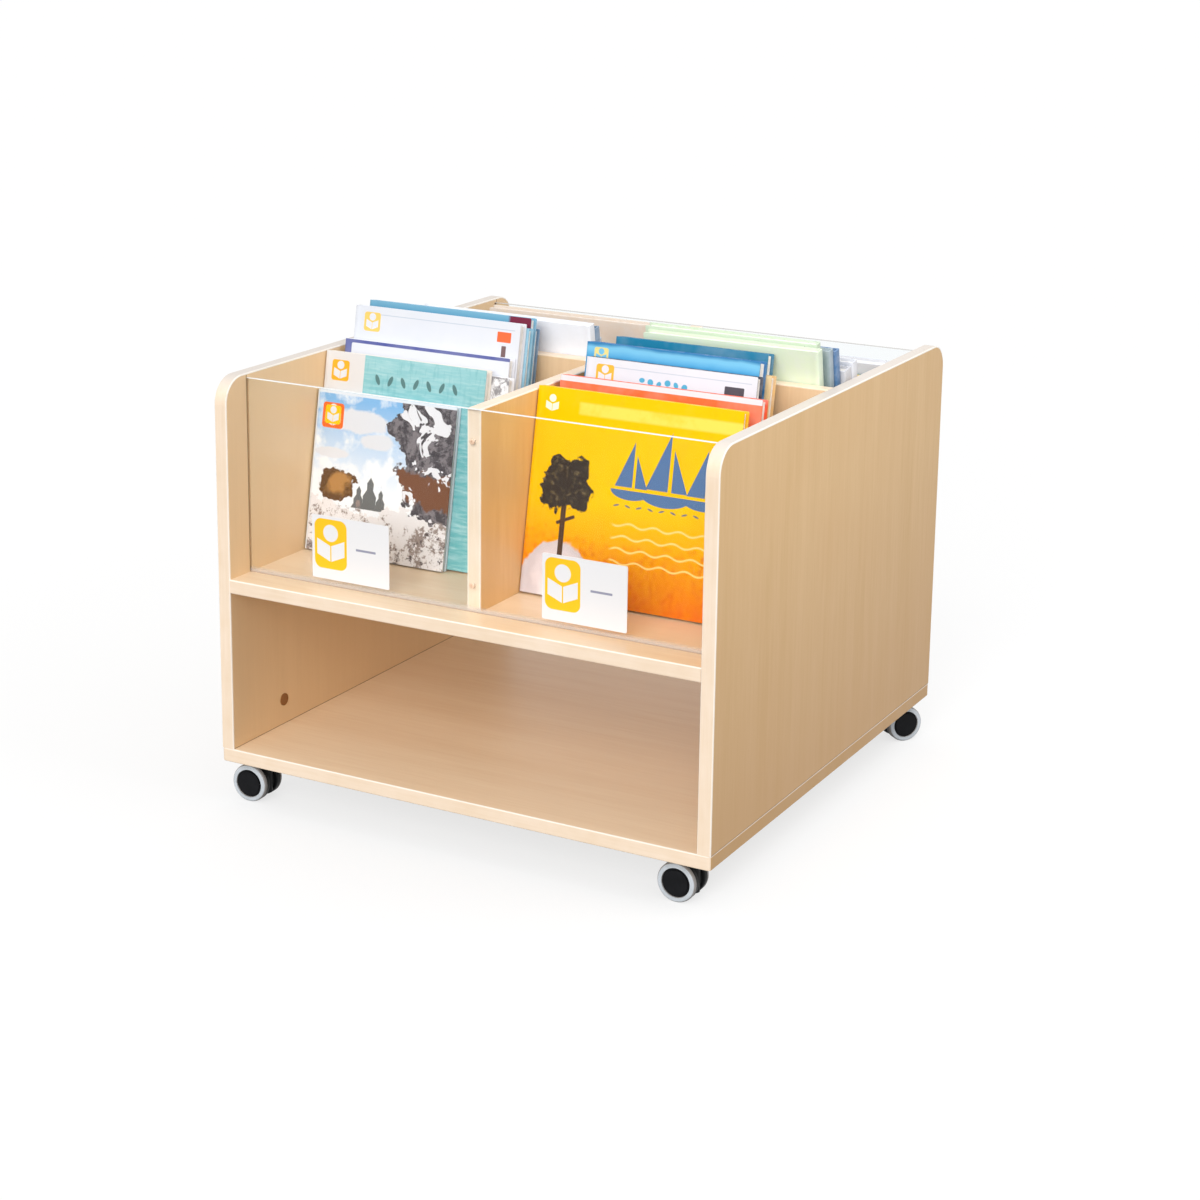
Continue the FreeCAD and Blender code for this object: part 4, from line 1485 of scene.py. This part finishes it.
@dataclass(frozen=True)
class Book:
    """A hardback picture book, sizes in metres. Its art is a design and what the design takes."""

    name: str
    body: str
    thickness: float
    width: float
    height: float
    left: float
    board: float
    art: tuple
    back: Colour
    corner: float = 0.0015
    mark: Point | None = None
    lip: float = 0.003
    leaf: float = 0.0006
    slip: float = 0.0006
    arris: float = 0.0004
    hinge: Place = (0.006, 0.009, 0.013)

    def outline(self) -> list[Point]:
        """The covers seen from above: two boards and a spine, with a hinge channel beside the spine.

        Returns:
            The corners, in order.
        """
        t, w, b = self.thickness, self.width, self.board
        near, deep, far = self.hinge
        sink, flat, chamfer, back = 0.35 * b, 0.0012, (0.0004, 0.0006), 0.002
        outer_front = [(w, -t), (far, -t), (deep, -t + sink), (near, -t), (flat, -t)]
        outer_back = [(flat, 0), (near, 0), (deep, -sink), (far, 0), (w, 0)]
        spine = [(chamfer[0], -t + chamfer[1]), (0, -t + back), (0, -back), (chamfer[0], -chamfer[1])]
        inside = [(w, -b), (b, -b), (b, b - t), (w, b - t)]
        return outer_front + spine + outer_back + inside

    def cover(self, place: Matrix, turn: Sequence[float]) -> Piece:
        """Builds the covers.

        Args:
            place: Takes the book's own frame to the row frame.
            turn: The same turn as angles, for the print.

        Returns:
            The piece.
        """
        bm = bmesh.new()
        low, high = ([bm.verts.new((x, y, z)) for x, y in self.outline()] for z in (0, self.height))
        bm.faces.new(reversed(low))
        bm.faces.new(high)
        for i in range(len(low)):
            j = (i + 1) % len(low)
            bm.faces.new((low[i], low[j], high[j], high[i]))
        bmesh.ops.recalc_face_normals(bm, faces=bm.faces)
        corners = [e for e in bm.edges if all(abs(v.co.x - self.width) < NEAR for v in e.verts)
                   and abs(e.verts[0].co.z - e.verts[1].co.z) < NEAR]
        bmesh.ops.bevel(bm, geom=corners, offset=self.corner, segments=4, profile=0.5, affect="EDGES")
        bmesh.ops.triangulate(bm, faces=[f for f in bm.faces if len(f.verts) > 4])
        bm.transform(place)
        design, *inks = self.art
        art = Cover(self, place.translation, turn)
        design(art, *inks)
        piece = new_piece(self.name, bm, (art.film(),), 40)
        edge = piece.modifiers.new("arris", "BEVEL")
        edge.width, edge.segments, edge.limit_method = self.arris, 2, "ANGLE"
        edge.angle_limit = math.radians(50)
        return piece

    def leaves(self, tree: Growth, place: Matrix, paper: Material, seed: int) -> Piece:
        """The page block, leaf by leaf.

        Args:
            tree: The tree that makes leaves.
            place: Takes the book's own frame to the row frame.
            paper: The leaves' material.
            seed: The seed of their slips.

        Returns:
            The piece.
        """
        depth = self.thickness - 2 * self.board
        width, height = self.width - self.board - self.lip, self.height - 2 * self.lip
        middle = (self.board + width / 2, self.board - self.thickness, self.lip + height / 2)
        return tree.grow(self.name + "_leaves", place @ Matrix.Translation(middle), {
            "Width": width, "Height": height, "Depth": depth, "Leaves": max(6, round(depth / self.leaf)),
            "Seed": seed, "Slip": self.slip, "Material": paper})


class Facing(Enum):
    """Which side a row of books is read from."""

    FRONT = 0.0
    REAR = math.pi


@dataclass
class BookRow:
    """One bay's books, leaning back on the cross divider, listed from the reader's side."""

    facing: Facing
    books: list[Book]
    lean: float = math.radians(10.0)
    gap: float = 0.0008
    lift: float = 0.0003

    @classmethod
    def listed(cls, group: str, facing: Facing, rows: Sequence[tuple]) -> "BookRow":
        """Makes a row from a table with its sizes in millimetres.

        Args:
            group: The body of the books that have none of their own.
            facing: Which side the row is read from.
            rows: For each book its own body or None, thickness, width, height, left edge, board
                thickness, design with its colours, back colour, and what else sets it apart.

        Returns:
            The row.
        """
        books = []
        for number, (body, t, w, h, left, board, art, back, *rest) in enumerate(rows):
            sizes = [size * MM for size in (t, w, h, left, board)]
            books.append(Book(body or f"{group}_{number}", body or group, *sizes, art, back, *rest))
        return cls(facing, books)

    def build(self, tree: Growth, paper: Material) -> dict[str, list[Piece]]:
        """Builds the row from the cross divider out.

        Args:
            tree: The tree that makes leaves.
            paper: The leaves' material.

        Returns:
            The cover pieces by body.
        """
        half_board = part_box("cross_divider")[1].y
        top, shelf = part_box("divider_edge_bands")[1].z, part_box("bin_shelf")[1].z
        back = half_board + (top - shelf) * math.tan(self.lean) + self.gap
        rear = self.facing is Facing.REAR
        turn = (-self.lean, 0.0, self.facing.value)
        made: dict[str, list[Piece]] = {}
        for seed, book in enumerate(reversed(self.books)):
            corner = Vector((book.left + book.width if rear else book.left, back if rear else -back,
                             shelf + self.lift))
            place = Matrix.Translation(corner) @ Euler(turn).to_matrix().to_4x4()
            cover = book.cover(place, turn)
            pages = book.leaves(tree, place, paper, seed)
            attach(cover, book.body)
            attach(pages, book.body)
            made.setdefault(book.body, []).append(cover)
            back += (book.thickness + self.gap) / math.cos(self.lean)
            LOG.info("built %s", book.name)
        return made


def book_rows() -> list[BookRow]:
    """Every book in the four bays.

    Returns:
        The rows.
    """
    return [
        BookRow.listed("books_front_left", Facing.FRONT, (
            ("picture_book_a", 11, 214, 212, -330, 2.5, (snowy_hills,), "cedce6"),
            ("picture_book_b", 15, 246, 260, -331, 2.5, (woven_teal,), "ece6dc"),
            (None, 15, 262, 250, -322, 2.0, (marbled,), "f0f0f4"),
            (None, 16, 253, 271, -324, 2.0, (plain, "545c9c", WHITE, 0.0045), "e8eaf2"),
            (None, 16, 254, 313, -323, 2.0, (lined_white, "ee6e42", "f6cc6e", False), WHITE),
            (None, 13, 238, 305, -304, 2.0, (plain, "96c6dc"), "8cbed6"),
            (None, 16, 250, 315, -322, 2.5, (blue_spine,), "78b0ce"),
            (None, 24, 236, 296, -316, 2.5, (plain, "ced6e0"), "7896b4"),
        )),
        BookRow.listed("books_front_right", Facing.FRONT, (
            ("picture_book_c", 15, 282, 259, 10, 2.5, (sunny_boats,), "fac418"),
            (None, 24, 262, 236, 14, 2.5, (plain, "c4c8d0"), "ced2da"),
            ("picture_book_d", 18, 279, 265, 17, 2.5, (striped, "f6703e", "e2e2e8", 0.025), "f0603c"),
            (None, 14, 250, 256, 22, 2.0, (plain, "ced0d8"), "d6d8e0"),
            (None, 17, 238, 284, 34, 2.0, (lined_white, "56acce", "f6b842", True), "464a58"),
            (None, 22, 242, 298, 23, 2.5, (painted_sheen_bands, "3c82b4", "78bee1", "3c96cd", "e6d68c"), "2c70a8"),
            (None, 16, 238, 278, 34, 2.0, (plain, "ecce96"), "e6be82"),
            (None, 20, 214, 300, 43, 2.5, (plain, "1e7a9e"), "227496"),
        )),
        BookRow.listed("books_rear_left", Facing.REAR, (
            (None, 14, 256, 277, -266, 2.5,
             (hills, "e8d6be", "dc6046", ("d8ba84", "be9660", "967052")), "decebe"),
            (None, 20, 248, 240, -318, 2.0, (plain, "96b2a0"), "96b2a0"),
            (None, 18, 230, 246, -290, 2.0, (plain, "d8a078"), "d8a078"),
            (None, 22, 256, 236, -306, 2.5, (plain, "aabed2"), "a0b6cc"),
            (None, 19, 240, 250, -322, 2.0, (plain, "e2dcce"), "dcd4c6"),
            (None, 18, 240, 270, -280, 2.0, (plain, "c4ced8"), "becad6"),
            (None, 16, 262, 284, -300, 2.0, (plain, WHITE), "e8eaee"),
            (None, 20, 244, 276, -310, 2.5, (plain, "e8c496"), "e2bc8c"),
            (None, 12, 262, 300, -272, 2.0, (plain, "96aabe"), "8098b2"),
            (None, 14, 262, 306, -272, 2.0, (plain, WHITE), "eef0f6"),
        )),
        BookRow.listed("books_rear_right", Facing.REAR, (
            (None, 20, 254, 255, 72, 2.5,
             (spotted, "ced6e0", ("5c7896", "e8b246", "ececf0", "ce6854")), "d6d8de"),
            (None, 22, 240, 236, 60, 2.0, (plain, "608c84"), "608c84"),
            (None, 24, 230, 240, 84, 2.5, (plain, "e2c478"), "dcbc6e"),
            (None, 22, 244, 232, 50, 2.0, (plain, "bac4d0"), "b4becc"),
            (None, 22, 236, 238, 70, 2.5, (plain, "cc7864"), "c4705e"),
            (None, 14, 250, 280, 76, 2.0, (plain, "e4e6ec"), "dcdee4"),
            (None, 20, 256, 272, 68, 2.5, (plain, "d6d6da"), "d2d2d6"),
            (None, 12, 248, 301, 70, 2.5, (plain, "6088b2"), "587eaa", 0.008),
            (None, 12, 246, 303, 69, 2.0, (plain, "aab8be"), "a0b0b8"),
            (None, 14, 240, 313, 64, 2.0, (plain, "cee0c4"), "cedec4", 0.0015, (0.016, 0.3035)),
            (None, 15, 244, 307, 69, 2.0, (plain, "d2e4c4"), "dae8ce"),
        )),
    ]


@dataclass(frozen=True)
class Library:
    """All the books on show, and a list of finish names for the frame's book nodes."""

    slots: tuple[tuple[str, str], ...] = (
        ("picture_book_a", "cover_sky"), ("picture_book_b", "cover_teal"),
        ("books_front_left", "covers_white_blue"), ("picture_book_c", "cover_yellow"),
        ("picture_book_d", "cover_orange"), ("books_front_right", "covers_white_sky"),
        ("books_rear_left", "covers_white"), ("books_rear_right", "covers_green"),
    )

    def build(self) -> None:
        """Builds the rows and hands the frame's book nodes over to them."""
        paper = self.paper()
        tree = leaf_tree()
        for row in book_rows():
            for body, covers in row.build(tree, paper).items():
                for cover in covers:
                    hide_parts(body)

    @staticmethod
    def paper() -> Material:
        """Coated white paper with a faint warm edge.

        Returns:
            The material.
        """
        g = Graph("page_paper")
        tone = g.noise(g.place(), 120.0, 2.0, 0.5)
        colour = g.mix(g.span(tone, 0.35, 0.7), "faf8f4", "eae6e0")
        return g.finish(colour, g.span(tone, 0.3, 0.7, 0.5, 0.62))


# ---- studio -------------------------------------------------------------------------------------


@dataclass(frozen=True)
class Lamp:
    """A soft lamp: a SUN shines alike everywhere, an AREA lamp fades with distance."""

    name: str
    kind: str
    place: Place
    target: Place
    energy: float

    def build(self) -> Piece:
        """Adds the lamp, turned to its target.

        Returns:
            The lamp.
        """
        data = bpy.data.lights.new(self.name, self.kind)
        data.energy = self.energy
        lamp = add_object(self.name, data)
        lamp.location = self.place
        aim = Vector(self.place) - Vector(self.target)
        lamp.rotation_euler = aim.to_track_quat("Z", "Y").to_euler()
        return lamp


@dataclass(frozen=True)
class Camera:
    """The camera, looking down on the bin from the right of its front."""

    place: Place = (1.4775, -2.7278, 1.2184)
    azimuth: float = 28.30
    elevation: float = 13.34
    roll: float = 0.76
    lens: float = 73.06
    shift: float = -0.15

    def build(self) -> None:
        """Adds the camera and makes it the scene's."""
        a, e, r = (math.radians(x) for x in (self.azimuth, self.elevation, self.roll))
        back = Vector((math.sin(a) * math.cos(e), -math.cos(a) * math.cos(e), math.sin(e)))
        right = (-back).cross(Vector((0, 0, 1))).normalized()
        up = right.cross(-back)
        turned = (right * math.cos(r) + up * math.sin(r), up * math.cos(r) - right * math.sin(r), back)
        data = bpy.data.cameras.new("camera")
        data.lens, data.shift_y = self.lens, self.shift
        camera = add_object("camera", data)
        camera.matrix_world = Matrix.Translation(self.place) @ Matrix(turned).transposed().to_4x4()
        bpy.context.scene.camera = camera


@dataclass(frozen=True)
class Studio:
    """A pale floor, a white surround and two soft lamps."""

    reach: float = 40.0
    surround: float = 0.80
    floor: tuple[float, ...] = (0.96, 0.96, 0.96, 1.0)
    floor_bounce: tuple[float, ...] = (0.16, 0.16, 0.16, 1.0)
    whiten: float = 0.72
    front: Lamp = Lamp("front_lamp", "SUN", (0.16, -0.88, 0.42), (0.0, 0.0, 0.0), 0.60 * math.pi)
    front_spread: float = 40.0
    side: Lamp = Lamp("side_lamp", "AREA", (1.05, -0.20, 1.30), (0.35, -0.05, 0.50), 5.0)
    side_size: float = 0.6

    def build(self) -> None:
        """Adds lamps, surround, floor and camera."""
        self.front.build().data.angle = math.radians(self.front_spread)
        side = self.side.build()
        side.data.size = self.side_size
        side.visible_camera = side.visible_glossy = False
        self.add_world()
        self.add_floor()
        Camera().build()
        bpy.context.scene.view_settings.view_transform = "Standard"

    def add_world(self) -> None:
        """A white surround that lights the bin at a plain level."""
        world = bpy.data.worlds.new("surround")
        bpy.context.scene.world = world
        world.use_nodes = True
        nodes = Nodes(world.node_tree)
        ground = nodes.tree.nodes["Background"]
        nodes.feed(ground.inputs["Color"], (1, 1, 1, 1))
        nodes.feed(ground.inputs["Strength"], nodes.span(nodes.seen(), 0.0, 1.0, self.surround, 1.0))

    def add_floor(self) -> None:
        """A wide floor that keeps a soft shadow."""
        bm = bmesh.new()
        bmesh.ops.create_grid(bm, x_segments=1, y_segments=1, size=self.reach)
        g = Graph("studio_floor")
        seen = g.seen()
        matt = g.node("ShaderNodeBsdfDiffuse", Color=g.mix(seen, self.floor_bounce, self.floor))
        shown = g.blend(seen * self.whiten, matt, g.node("ShaderNodeEmission"))
        new_piece("studio_floor", bm, (g.close(shown),))


def main() -> None:
    """Dresses the frame, adds the pieces that it leaves to looks, and sets the studio."""
    logging.basicConfig(level=logging.INFO, format="%(message)s")
    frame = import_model()
    boards = Boards(frame["nodes"])
    boards.dress()
    clear = ClearAcrylic("clear_acrylic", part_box("bin_shelf")[1].z).material()
    # The rear panel's edge is a darker copy of the polished edge: painted shade.
    polished, dull = PolishedEdge("polished_edge"), PolishedEdge("shaded_rear_edge", "bebcb8", "a4a2a0")
    for side, edge in (("front", polished), ("rear", dull)):
        ClearPanel(side + "_acrylic_panel", frame["nodes"]).build(clear, edge.material())
    joints = {joint["name"]: joint for joint in frame["joints"]}
    nylon = Plastic("black_nylon", "101112", "1a1b1c", gloss=0.15).material()
    disc = Plastic("hub_black", "0c0d10", "141518", (0.36, 0.46), gloss=0.12).material()
    # The ring shoulder's darker material is painted shade.
    ring = [Plastic(name, tone, worn, (0.5, 0.62), 700.0, 0.00004).material() for name, tone, worn in (
        ("soft_ring", "d0d6dc", "c0c6cb"), ("ring_shoulder_shade", "a4a09e", "928a84"))]
    steel = Steel("caster_steel").material()
    for corner in ("front_left", "front_right", "rear_left", "rear_right"):
        Caster(corner, joints, boards).build(nylon, disc, ring, steel)
    Fixings().build(steel)
    Library().build()
    Studio().build()
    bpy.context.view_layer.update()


if __name__ == "__main__":
    main()
